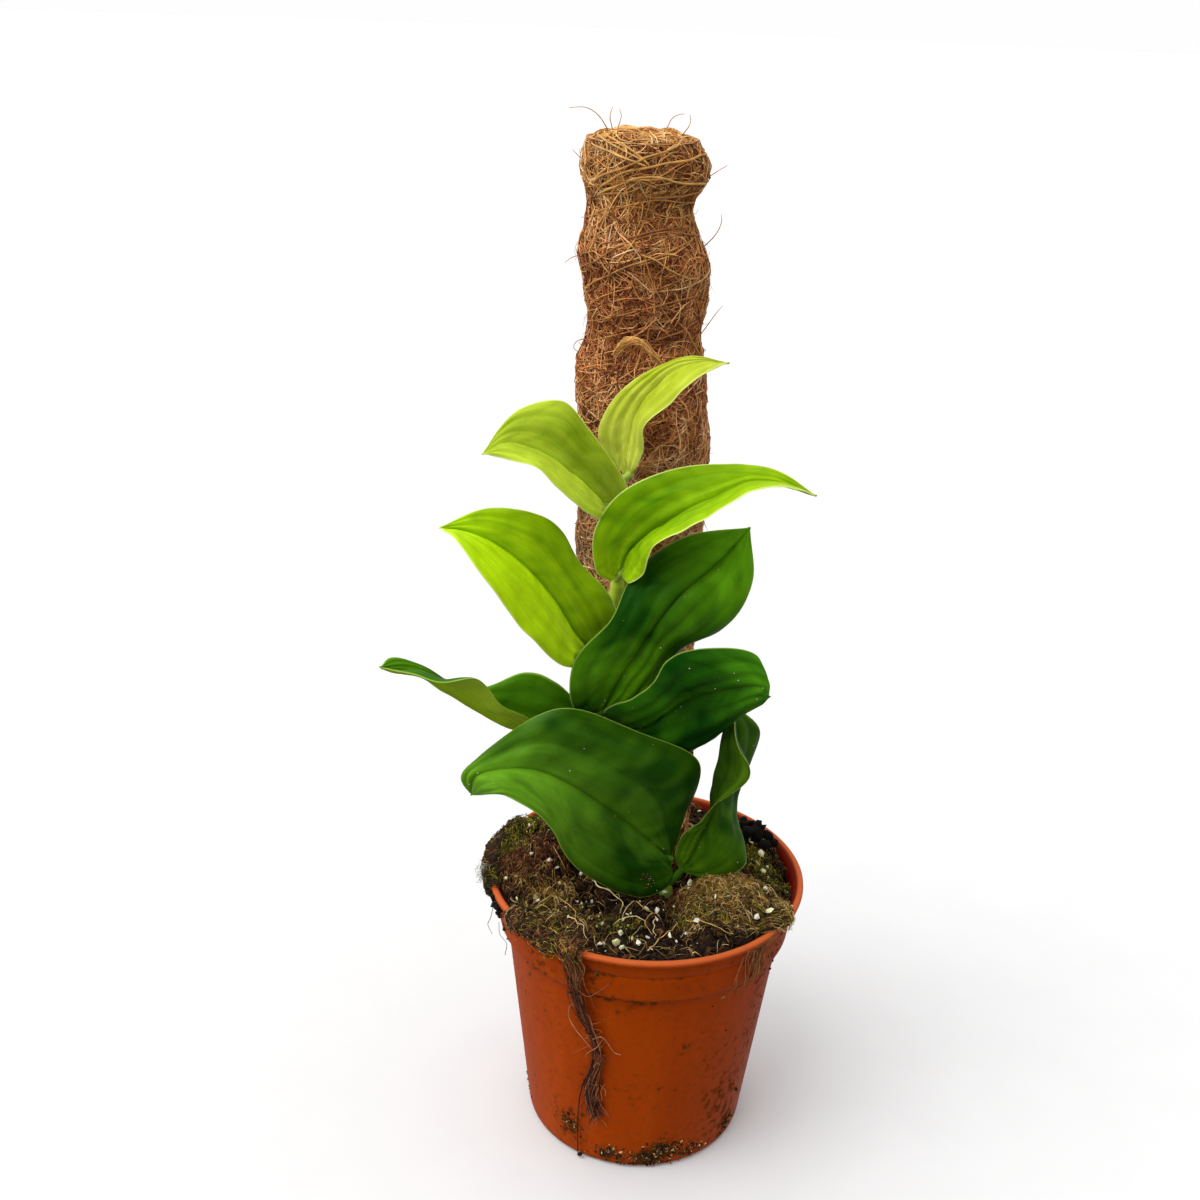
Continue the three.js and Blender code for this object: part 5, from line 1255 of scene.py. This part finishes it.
# Each leaf: where its stalk leaves the stem, its blade's base and tip, five stations between them on
# the midrib and on both margins, and the darker and lighter green of its top and of its underside.
# along says how far each half, left and right, goes to the lighter green at even steps from its
# base to its tip; bands adds lengthwise bands across, from the left margin
# at -1 over the midrib to the right margin at 1. Both are mostly painted light and shade, lighter
# where the blade faces the light and darker where it turns away or folds, with some of the leaf's
# own variation in green; under_along and under_bands do the same for the underside.
LEAVES = {
    "leaf_1": dict(
        foot=[8, -13, 108], base=[13, -13, 115], tip=[27.5, -12, 185],
        rib=[[17, -16, 125], [21, -19, 139], [23, -21, 152], [24, -20, 164], [25, -16, 175]],
        left=[[10.5, -14, 123], [14, -18, 136], [23, -29, 152.5], [33.5, -36, 168.5], [29.5, -31, 178.5]],
        right=[[25, -16, 114], [36.5, -18, 123], [33.5, -12, 133], [33, -8, 149.5], [38.5, -5, 170.5]],
        greens=["#1A3E04", "#6A9E18"], under=["#1A3403", "#557A10"],
        along=([0.9, 0.35, 0.1, 0, 0], [0.35, 0.2, 0.1, 0.05, 0.2]),
        bands=[[-1, -0.05], [-0.5, 0], [-0.05, 0.08], [0.05, 0.1], [0.2, 0], [0.5, 0.03], [0.8, 0.05],
            [1, 0]],
        under_along=([0, 0, 0, 0.05, 0.1], [0, 0, 0, 0, 0.1]),
        under_bands=[[-1, 0.1], [-0.78, 0.6], [-0.6, 0.35], [-0.45, 0.15], [-0.3, 0.05], [0, 0], [1, 0.2]]),
    "leaf_2": dict(
        foot=[4, -12, 119], base=[9, -18, 123], tip=[-61.5, -43, 159.5],
        rib=[[2, -23, 132.5], [-10, -30, 146.5], [-26, -37, 161.5], [-41, -42, 170.5], [-58.5, -45, 169]],
        left=[[9, -21, 113.5], [-4, -24, 110.5], [-23.5, -34, 126], [-35, -46, 152], [-48, -50, 164]],
        right=[[13, -18, 142], [17, -19, 164.5], [-4.2, -22.5, 176.7], [-34, -29, 187.5], [-63, -42, 169.5]],
        greens=["#123A02", "#62961C"], under=["#1A3404", "#344E0A"],
        along=([0, 0.14, 0, 0.5, 0.85, 0.85, 0.6], [0.1, 0.15, 0.15, 0.3, 0.3, 0.8, 1]),
        bands=[[-1, -0.2], [-0.9, -0.05], [-0.68, 0.1], [-0.5, -0.08], [-0.35, 0.1], [-0.12, 0.2],
            [-0.04, 0.3], [0.06, 0.5], [0.12, 0.3], [0.2, 0.12], [0.4, 0.05], [0.47, -0.08], [0.6, -0.15],
            [0.8, -0.15], [1, -0.05]],
        veins=([0, 0.4, 0.75, 1], [0, 0.45, 1]), swell=(0.012, 0.034)),
    "leaf_3": dict(
        foot=[-16, -12, 172], base=[-13, -15, 174], tip=[38.5, -33, 198.5],
        rib=[[-2, -17, 177], [5, -21, 186], [15, -26, 194], [27, -31, 200], [35, -34, 203]],
        left=[[-17.5, -20, 184], [-2.2, -33, 199], [3, -35, 211.5], [17, -32, 214.8], [33, -32, 213.5]],
        right=[[-6.5, -14, 165], [6, -14, 161.5], [18, -15, 168.5], [26, -21, 180.5], [34.5, -29, 192]],
        greens=["#063A02", "#4E9210"], under=["#163404", "#36560A"],
        along=([0.55, 0.2, 0.36, 0, 0.25, 0.7, 0.9], [0.4, 0.08, 0.15, 0, 0.25, 0.62, 0.3]),
        bands=[[-1, -0.1], [-0.77, -0.02], [-0.5, 0.05], [-0.2, 0.05], [-0.05, 0.2], [0.05, 0.1],
            [0.15, 0.05], [0.35, 0.08], [0.5, 0.05], [0.77, -0.12], [1, -0.22]]),
    "leaf_4": dict(
        foot=[-14, -12, 171], base=[-19, -15, 175], tip=[-93.5, -36, 203],
        rib=[[-26, -16, 174], [-37, -19, 173], [-51, -23, 177], [-66, -28, 188.5], [-81, -33, 199.5]],
        left=[[-24, -18, 171], [-35, -24, 177], [-51.5, -34, 189.5], [-59.5, -41, 202.5], [-72, -41, 202]],
        right=[[-26, -13, 181], [-35.5, -12, 189.5], [-46.5, -13, 193], [-64.5, -22, 190],
            [-87.5, -31, 204.5]],
        greens=["#245204", "#4A7E08"], under=["#74920C", "#B2CE28"],
        along=([0.45, 0.35, 0.2, 0.2, 0.7], [0.5, 0.65, 0.65, 0.9, 1]),
        bands=[[-1, 0], [-0.05, 0], [0.05, 0.25], [0.2, 0.12], [0.6, -0.05], [1, 0]],
        under_along=([0.5, 1, 0.55, 0.3, 0.5], [0.3, 0.3, 0.3, 0.3, 0.3])),
    "leaf_5": dict(
        foot=[-19, -13, 178.5], base=[-19, -18.5, 181.2], tip=[28, -25, 256],
        rib=[[-15, -20, 190], [-10, -25, 202], [-3, -31, 218], [6, -33, 233], [18, -29, 244]],
        left=[[-28.4, -22, 185], [-28.5, -30, 205], [-16.1, -31, 223.2], [-8.4, -24, 239.1], [8.5, -27, 253]],
        right=[[-6, -19.5, 186.5], [1.5, -21, 199.5], [7.5, -25, 210.5], [21, -29, 220.5], [30, -29, 238]],
        greens=["#0E3C02", "#609E0C"], under=["#1A3A04", "#3A5C0A"],
        along=([0.25, 0.2, 0.75, 0.05, 0.14, 0.6, 0.95], [0.4, 0.6, 1, 0.2, 0.42, 1, 1]),
        bands=[[-1, -0.1], [-0.5, -0.05], [-0.2, 0.08], [-0.08, 0.12], [-0.01, -0.1], [0.04, -0.15],
            [0.12, 0], [0.35, 0.1], [0.5, 0.05], [0.62, 0], [0.8, -0.12], [1, -0.15]]),
    "leaf_6": dict(
        foot=[-20, -12, 197], base=[-22, -16, 200], tip=[-73, -35, 254],
        rib=[[-24, -19, 206], [-29, -25, 216], [-36, -31, 230], [-46, -35, 243], [-59, -36, 252]],
        left=[[-26, -23, 201], [-33, -34, 207], [-43, -45, 222], [-55, -49, 241], [-65, -44, 251]],
        right=[[-14, -16, 211], [-17, -17, 225], [-27, -20, 238], [-38, -23, 254], [-57, -30, 260]],
        greens=["#4A7A02", "#BCE60E"], under=["#7C9E16", "#A0BE2C"],
        along=([0.35, 0.85, 0.85, 0.74, 0.72], [0.3, 0.36, 0.38, 0.42, 0.45]),
        bands=[[-1, -0.08], [-0.85, 0.02], [-0.66, 0], [-0.6, -0.1], [-0.54, 0.03], [-0.33, 0.02],
            [-0.28, -0.06], [-0.22, 0.04], [-0.06, 0.08], [-0.01, -0.05], [0.06, 0.05], [0.16, -0.08],
            [0.26, 0.06], [0.42, 0.08], [0.5, -0.12], [0.56, -0.1], [0.64, 0.08], [0.85, 0.02], [1, 0]]),
    "leaf_7": dict(
        foot=[-15.5, -12, 230], base=[-14.3, -18, 234.4], tip=[47, -39, 273],
        rib=[[-13.6, -19.6, 237.4], [-12, -22, 243], [-8, -27, 250], [1, -33, 259], [12, -38, 268],
            [29, -41, 277]],
        left=[[-17.4, -19, 231.6], [-22.4, -21, 236.6], [-23, -24, 252], [-13.5, -27, 267.5], [7, -31, 278],
            [30.5, -37, 280.5]],
        right=[[-11, -27, 234.6], [-6.4, -34, 240.9], [-4, -41, 250], [0.5, -47.5, 259.4],
            [14.5, -50, 268.5], [32, -47, 277.5]],
        greens=["#4E7E02", "#B4DC12"], under=["#7C9E16", "#A0BE2C"],
        along=([1, 0.9, 0.3, 0.14, 0.3, 0.66], [0.85, 0.7, 0.42, 0.36, 0.42, 0.62]),
        bands=[[-1, -0.08], [-0.75, 0.02], [-0.62, -0.05], [-0.5, -0.1], [-0.42, 0.05], [-0.2, 0.08],
            [-0.08, 0.1], [-0.02, 0.22], [0.04, 0.08], [0.2, -0.14], [0.5, -0.04], [0.8, 0.08], [1, 0.12]]),
    "leaf_8": dict(
        foot=[-18.5, -12, 255], base=[-19, -17, 258], tip=[-59, -36, 280],
        rib=[[-21, -20, 261], [-26, -24, 267], [-33, -28, 273], [-40, -32, 280], [-50, -35, 284]],
        left=[[-21, -24, 256], [-27, -34, 262], [-33, -41, 271], [-40, -43, 278], [-50, -41, 280]],
        right=[[-13, -17, 264.5], [-19.5, -20, 276.5], [-26.5, -21, 285.5], [-35, -23, 295],
            [-49, -29, 292.5]],
        greens=["#6A8804", "#D6EC44"], under=["#869E20", "#A8BE3A"],
        along=([1, 0.78, 0.66, 0.42, 0.48], [0.95, 0.32, 0.18, 0.36, 0.48]),
        bands=[[-1, 0.1], [-0.7, 0.03], [-0.45, -0.04], [-0.2, 0], [-0.05, 0.05], [0.04, 0.5], [0.14, 0.15],
            [0.22, -0.06], [0.35, -0.05], [0.45, 0.03], [0.55, -0.06], [0.7, 0], [1, 0.02]]),
    "leaf_9": dict(
        foot=[-16, -11, 265], base=[-13, -14, 268], tip=[17, -31, 312],
        rib=[[-13, -16, 275], [-12, -20, 283], [-10, -25, 294], [-5, -29, 303], [3, -31, 310]],
        left=[[-18.5, -12, 271.5], [-23.5, -13, 282], [-19.5, -19, 294], [-10.5, -26, 305], [3, -29, 312.5]],
        right=[[-9.5, -22, 273.5], [-8.5, -31, 284.5], [-6.5, -37, 294], [1.5, -39, 301.5], [10, -37, 309]],
        greens=["#96A808", "#E8F060"], under=["#98A828", "#B6C446"],
        along=([0.95, 0.5, 0.4, 0.2, 0.45], [1, 0.8, 0.12, 0.1, 0.3]),
        bands=[[-1, -0.18], [-0.75, -0.06], [-0.4, 0], [-0.25, 0.05], [-0.12, 0.45], [-0.03, 0.5],
            [0.05, 0.1], [0.2, 0], [0.5, -0.02], [0.75, 0.1], [1, 0.12]]),
}

# Where the main veins lie on each half, as shares of the way from midrib to margin
EVEN_VEINS = ([0, 0.32, 0.68, 1], [0, 0.32, 0.68, 1])


def leaf_line(leaf, key):
    """A line of stations with the blade's base and tip at its ends."""
    return [leaf["base"], *leaf[key], leaf["tip"]]


def leaf_cells(along_mm, far, seed):
    """The cells between the fine side veins, which leave the midrib slanting towards the tip. One
    cell is 7 mm long, and they fade in and out along the blade. Gives 0 on the veins and 1 in a
    cell's middle, and the count along the blade."""
    count = (along_mm + 9 * far) / 7 + 0.2 * np.sin(8 * far
                                                    + seed) + 0.3 * np.sin(0.14 * along_mm + 2 * far + seed)
    shown = 0.2 + 0.8 * np.sin(0.17 * along_mm + 5 * far + seed) ** 2
    return 1 - (1 - np.abs(np.sin(np.pi * count)) ** 0.7) * shown, count


def leaf_surface(leaf, rows, columns, seed):
    """The blade. Each cross line runs straight from margin to margin through the midrib, folded up
    along it by the 1.2th power of the distance. Each half is crowned and swells between its main
    veins, which run from base to tip at a fixed share of the way out, so that they lie in creases,
    and each cell between the fine side veins is raised a little. The margin is waved and the midrib
    lies in a groove. Returns points, the way up, the distances from midrib and margin, and the
    shares across and along."""
    t = np.linspace(0, 1, rows)
    spread = np.linspace(-1, 1, columns)
    s = np.sign(spread) * (1 - np.cos(np.pi * np.abs(spread))) / 2
    rib, left, right = (curve_through(leaf_line(leaf, key), t) for key in ("rib", "left", "right"))
    # Near its base and tip the blade is kept open a little, so that no face is without area
    sideways = unit(right[rows // 5] - left[rows // 5])
    least = 0.35
    near = np.linalg.norm(left - rib, axis=1, keepdims=True) < least
    left = np.where(near, rib - sideways * least, left)
    near = np.linalg.norm(right - rib, axis=1, keepdims=True) < least
    right = np.where(near, rib + sideways * least, right)
    width = np.linalg.norm(right - left, axis=1)[:, None]
    far = np.abs(s)[None]
    place = (rib[:, None] + s[None, :, None] * (right - left)[:, None] / 2
             + (far ** 1.2)[..., None] * ((left + right) / 2 - rib)[:, None])
    up = unit(np.cross(np.gradient(place, axis=1), np.gradient(place, axis=0)))
    swell, quilted = 0 * far, 0 * far * width
    length = np.linalg.norm(np.diff(rib, axis=0), axis=1).sum()
    cells, _ = leaf_cells(t[:, None] * length, far, seed)
    both_veins = leaf.get("veins", EVEN_VEINS)
    for on_side, veins, high in zip((s < 0, s >= 0), both_veins, leaf.get("swell", (0.018, 0.018))):
        for low, top in zip(veins[:-1], veins[1:]):
            inside = on_side[None] & (far >= low) & (far <= top)
            within = np.sin(np.pi * np.clip((far - low) / (top - low), 0, 1))
            swell = np.where(inside, high * within ** 1.15, swell)
            quilted = np.where(inside, 0.3 * within * cells, quilted)
    grown = smooth_step(t, 0.0, 0.12)[:, None]
    ending = smooth_step(1 - t, 0, 0.08)[:, None]
    crown = width * (0.05 * np.sin(np.pi * far) + swell) * grown
    side = np.where(s < 0, 3.1, 0.0)[None]
    uneven = 0.35 * relief(place, 22, seed) + 0.10 * relief(place, 8, seed + 1)
    draw = np.random.default_rng(seed)
    waves = draw.uniform(2.2, 3.4) * t[:, None]
    wave = 0.55 * far ** 4 * np.sin(2 * np.pi * waves + draw.uniform(0, 6.3) + side)
    from_rib = far * width / 2
    groove = -0.45 * peak(from_rib, 0, 0.8) * (1 - 0.5 * t[:, None])
    rise = crown + (uneven + wave + quilted) * grown * ending + groove
    across, along = s[None] + 0 * width, t[:, None] + 0 * far
    return place + up * rise[..., None], up, from_rib, (1 - far) * width / 2, across, along


def leaf_tints(leaf, top, s, t, length, seed, patchy):
    """The greens of the blade's two sides, each between a darker and a lighter one. The share of
    the lighter is that of the half at this place along it plus that of the lengthwise band, both mostly
    painted light and shade of the blade's folds with some of the leaf's own variation; it is less in the
    creases of the main veins, by painted shade, more in the middle of each cell, by painted light on its
    swell, and patchy leaves have dark slanting spots about a cell long."""
    far = np.abs(s)
    cells, count = leaf_cells(t * length, far, seed)
    blend = lambda pair: np.where(s < 0, *(np.interp(t, np.linspace(0, 1, len(half)), half) for half in pair))
    painted_light_band = lambda key: np.interp(s, *np.array(leaf[key]).T)
    # Painted shade along the creases of the main veins
    creases = sum(peak(far, vein, 0.025) * (s * side >= 0)
                  for side, veins in zip((-1, 1), leaf.get("veins", EVEN_VEINS))
                  for vein in veins[1:-1])
    spots = relief(np.stack([count * 2.2, s * 4.2, 0 * s], -1), 3.4, seed + 8)
    # Painted light in the middle of each cell, where it swells, and painted shade in the vein creases
    uneven = 0.04 * relief(top, 9, seed + 3) + (0.08 if patchy else 0.14) * (cells - 0.65)
    uneven = uneven - 0.07 * creases * smooth_step(t, 0.03, 0.15)
    # The halves' shares and the bands are mostly painted light and shade
    share = blend(leaf["along"]) + painted_light_band("bands") + uneven
    share = share - patchy * smooth_step(spots, 0.1, 1.7) * (0.3 + share)
    below = blend(leaf.get("under_along", ([0.4] * 5, [0.4] * 5))) + uneven
    if "under_bands" in leaf:
        below = below + painted_light_band("under_bands")
    greens = []
    for key, lighter in (("greens", share), ("under", below)):
        deep, light = palette(*leaf[key])
        lighter = np.clip(lighter, 0, 1)[..., None]
        greens.append(deep * (1 - lighter) + light * lighter)
    return greens


def build_leaf(name, leaf, tissue, slot, seed):
    """The blade as a sheet a third of a millimetre thick with a rounded margin and a midrib that
    stands out below, and its stalk. The quilt attribute counts fine veins across and along."""
    rows, columns = 112, 61
    top, up, from_rib, from_edge, s, t = leaf_surface(leaf, rows, columns, seed)
    far = np.abs(s)
    half = 0.15 * np.sqrt(1 - far ** 6) + 0.04
    rib_below = 0.95 * (1 - 0.75 * t) * peak(from_rib, 0, 0.75)
    upper = top + up * half[..., None]
    lower = top - up * (half + rib_below)[..., None]
    rings = np.concatenate([upper, lower[:, ::-1]], 1)
    both = lambda value: np.concatenate([value, value[:, ::-1]], 1)
    midrib = curve_through(leaf_line(leaf, "rib"), t[:, 0])
    length = np.linalg.norm(np.diff(midrib, axis=0), axis=1).sum()
    quilt = np.stack([s * 16 + 20, (t * length + 14 * far) / 9, seed * 3.3 + 0 * s], -1)
    tint, under = leaf_tints(leaf, top, s, t, length, seed, 0.22 if slot == "leaf_old" else 0.0)
    values = dict(
        tint=np.concatenate([tint, under[:, ::-1]], 1).reshape(-1, 3), edge_mm=both(from_edge).ravel(),
        rib_mm=both(from_rib).ravel(), below=np.concatenate([0 * far, 0 * far + 1], 1).ravel(),
        quilt=both(quilt).reshape(-1, 3))
    shells = [ring_shell(rings, **values)]
    # The stalk runs on into the underside of the midrib
    inner = curve_through(leaf_line(leaf, "rib"), np.array([0.0, 0.03, 0.07, 0.12]))
    under = up[[0, 3, 8, 13], columns // 2]
    path = np.vstack([leaf["foot"], inner - under * np.array([[0.2], [0.7], [0.95], [0.9]])])
    share = np.linspace(0, 1, 26)
    radius = 1.45 - 0.75 * share ** 1.5
    stalk_tint = palette("#B4CC5C") if slot == "leaf_young" else palette("#3E6A12")
    stalk = strand_shell(curve_through(path, share)[None], radius[None], 12, [0.05, 1, 0.02], tint=stalk_tint)
    shells.append(green_shell(stalk))
    if slot == "leaf_old":
        # Specks of mix splashed on the blade
        draw = np.random.default_rng(seed + 5)
        row, column = draw.integers(6, rows - 6, 16), draw.integers(4, columns - 4, 16)
        shades = palette("#B9B796", "#DAD9C8", "#6E6440")
        specks = mixed_lumps(draw, upper[row, column], draw.uniform(0.12, 0.3, 16), seed + 6, shades)
        shells.append(green_shell(specks))
    if name == "leaf_2":
        # A torn brown scab near the base of the lowest big leaf, and a scrap of husk by its midrib
        for count, rows_at, columns_at, largest, more, shades in [
            (40, (26, 33), (8, 14), 0.26, 7, palette("#6E4A22", "#A27A4A", "#C8B08A")),
            (12, (16, 20), (29, 33), 0.2, 8, palette("#7A6A3A", "#B0A07A")),
        ]:
            row, column = draw.integers(*rows_at, count), draw.integers(*columns_at, count)
            places = upper[row, column] + up[row, column] * 0.1
            scraps = mixed_lumps(draw, places, draw.uniform(0.08, largest, count), seed + more, shades)
            shells.append(green_shell(scraps))
    new_piece(name + "_blade", shells, tissue, slot, name)


def green_shell(shell):
    """The leaf material's other attributes, for a shell that is not a blade."""
    size = len(shell["points"])
    shell.update(edge_mm=np.full(size, 9.0), rib_mm=np.full(size, 9.0), below=np.zeros(size),
                 quilt=shell["points"] / 3)
    return shell


def main():
    place_camera()
    build_studio()
    earth = fibre_material("peat_and_bark_crumbs", 0.92, 1.6, 0.6)
    fibre = fibre_material("dry_plant_fibre", 0.78, 2.5, 0.4, sheen=0.02)
    coir = fibre_material("retted_coir_fibre", 0.7, 3.0, 0.5, sheen=0.05)
    build_pot(moulded_polypropylene())
    build_splashes(earth)
    build_coir(coir)
    build_coir_strands(coir)
    build_coir_ends(coir)
    # One generator strews crumbs, grains and litter, in this order
    strewn = np.random.default_rng(64)
    build_soil(strewn, earth, expanded_perlite())
    build_litter(strewn, fibre)
    for name, patch in PATCHES.items():
        build_patch(name, patch, fibre)
    build_roots(fibre)
    young = leaf_tissue("young_leaf_under_wax", "#DDE87E", 0.45, "#DCF070")
    old = leaf_tissue("old_leaf_under_wax", "#94B84C", 0.40, "#A6DC80")
    build_stem(old)
    for k, (name, leaf) in enumerate(LEAVES.items()):
        slot, tissue = ("leaf_young", young) if k > 4 else ("leaf_old", old)
        build_leaf(name, leaf, tissue, slot, 200 + 10 * k)
    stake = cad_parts["pole_stake"].data
    stake.materials.clear()
    stake.materials.append(turned_pine())
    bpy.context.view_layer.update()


main()
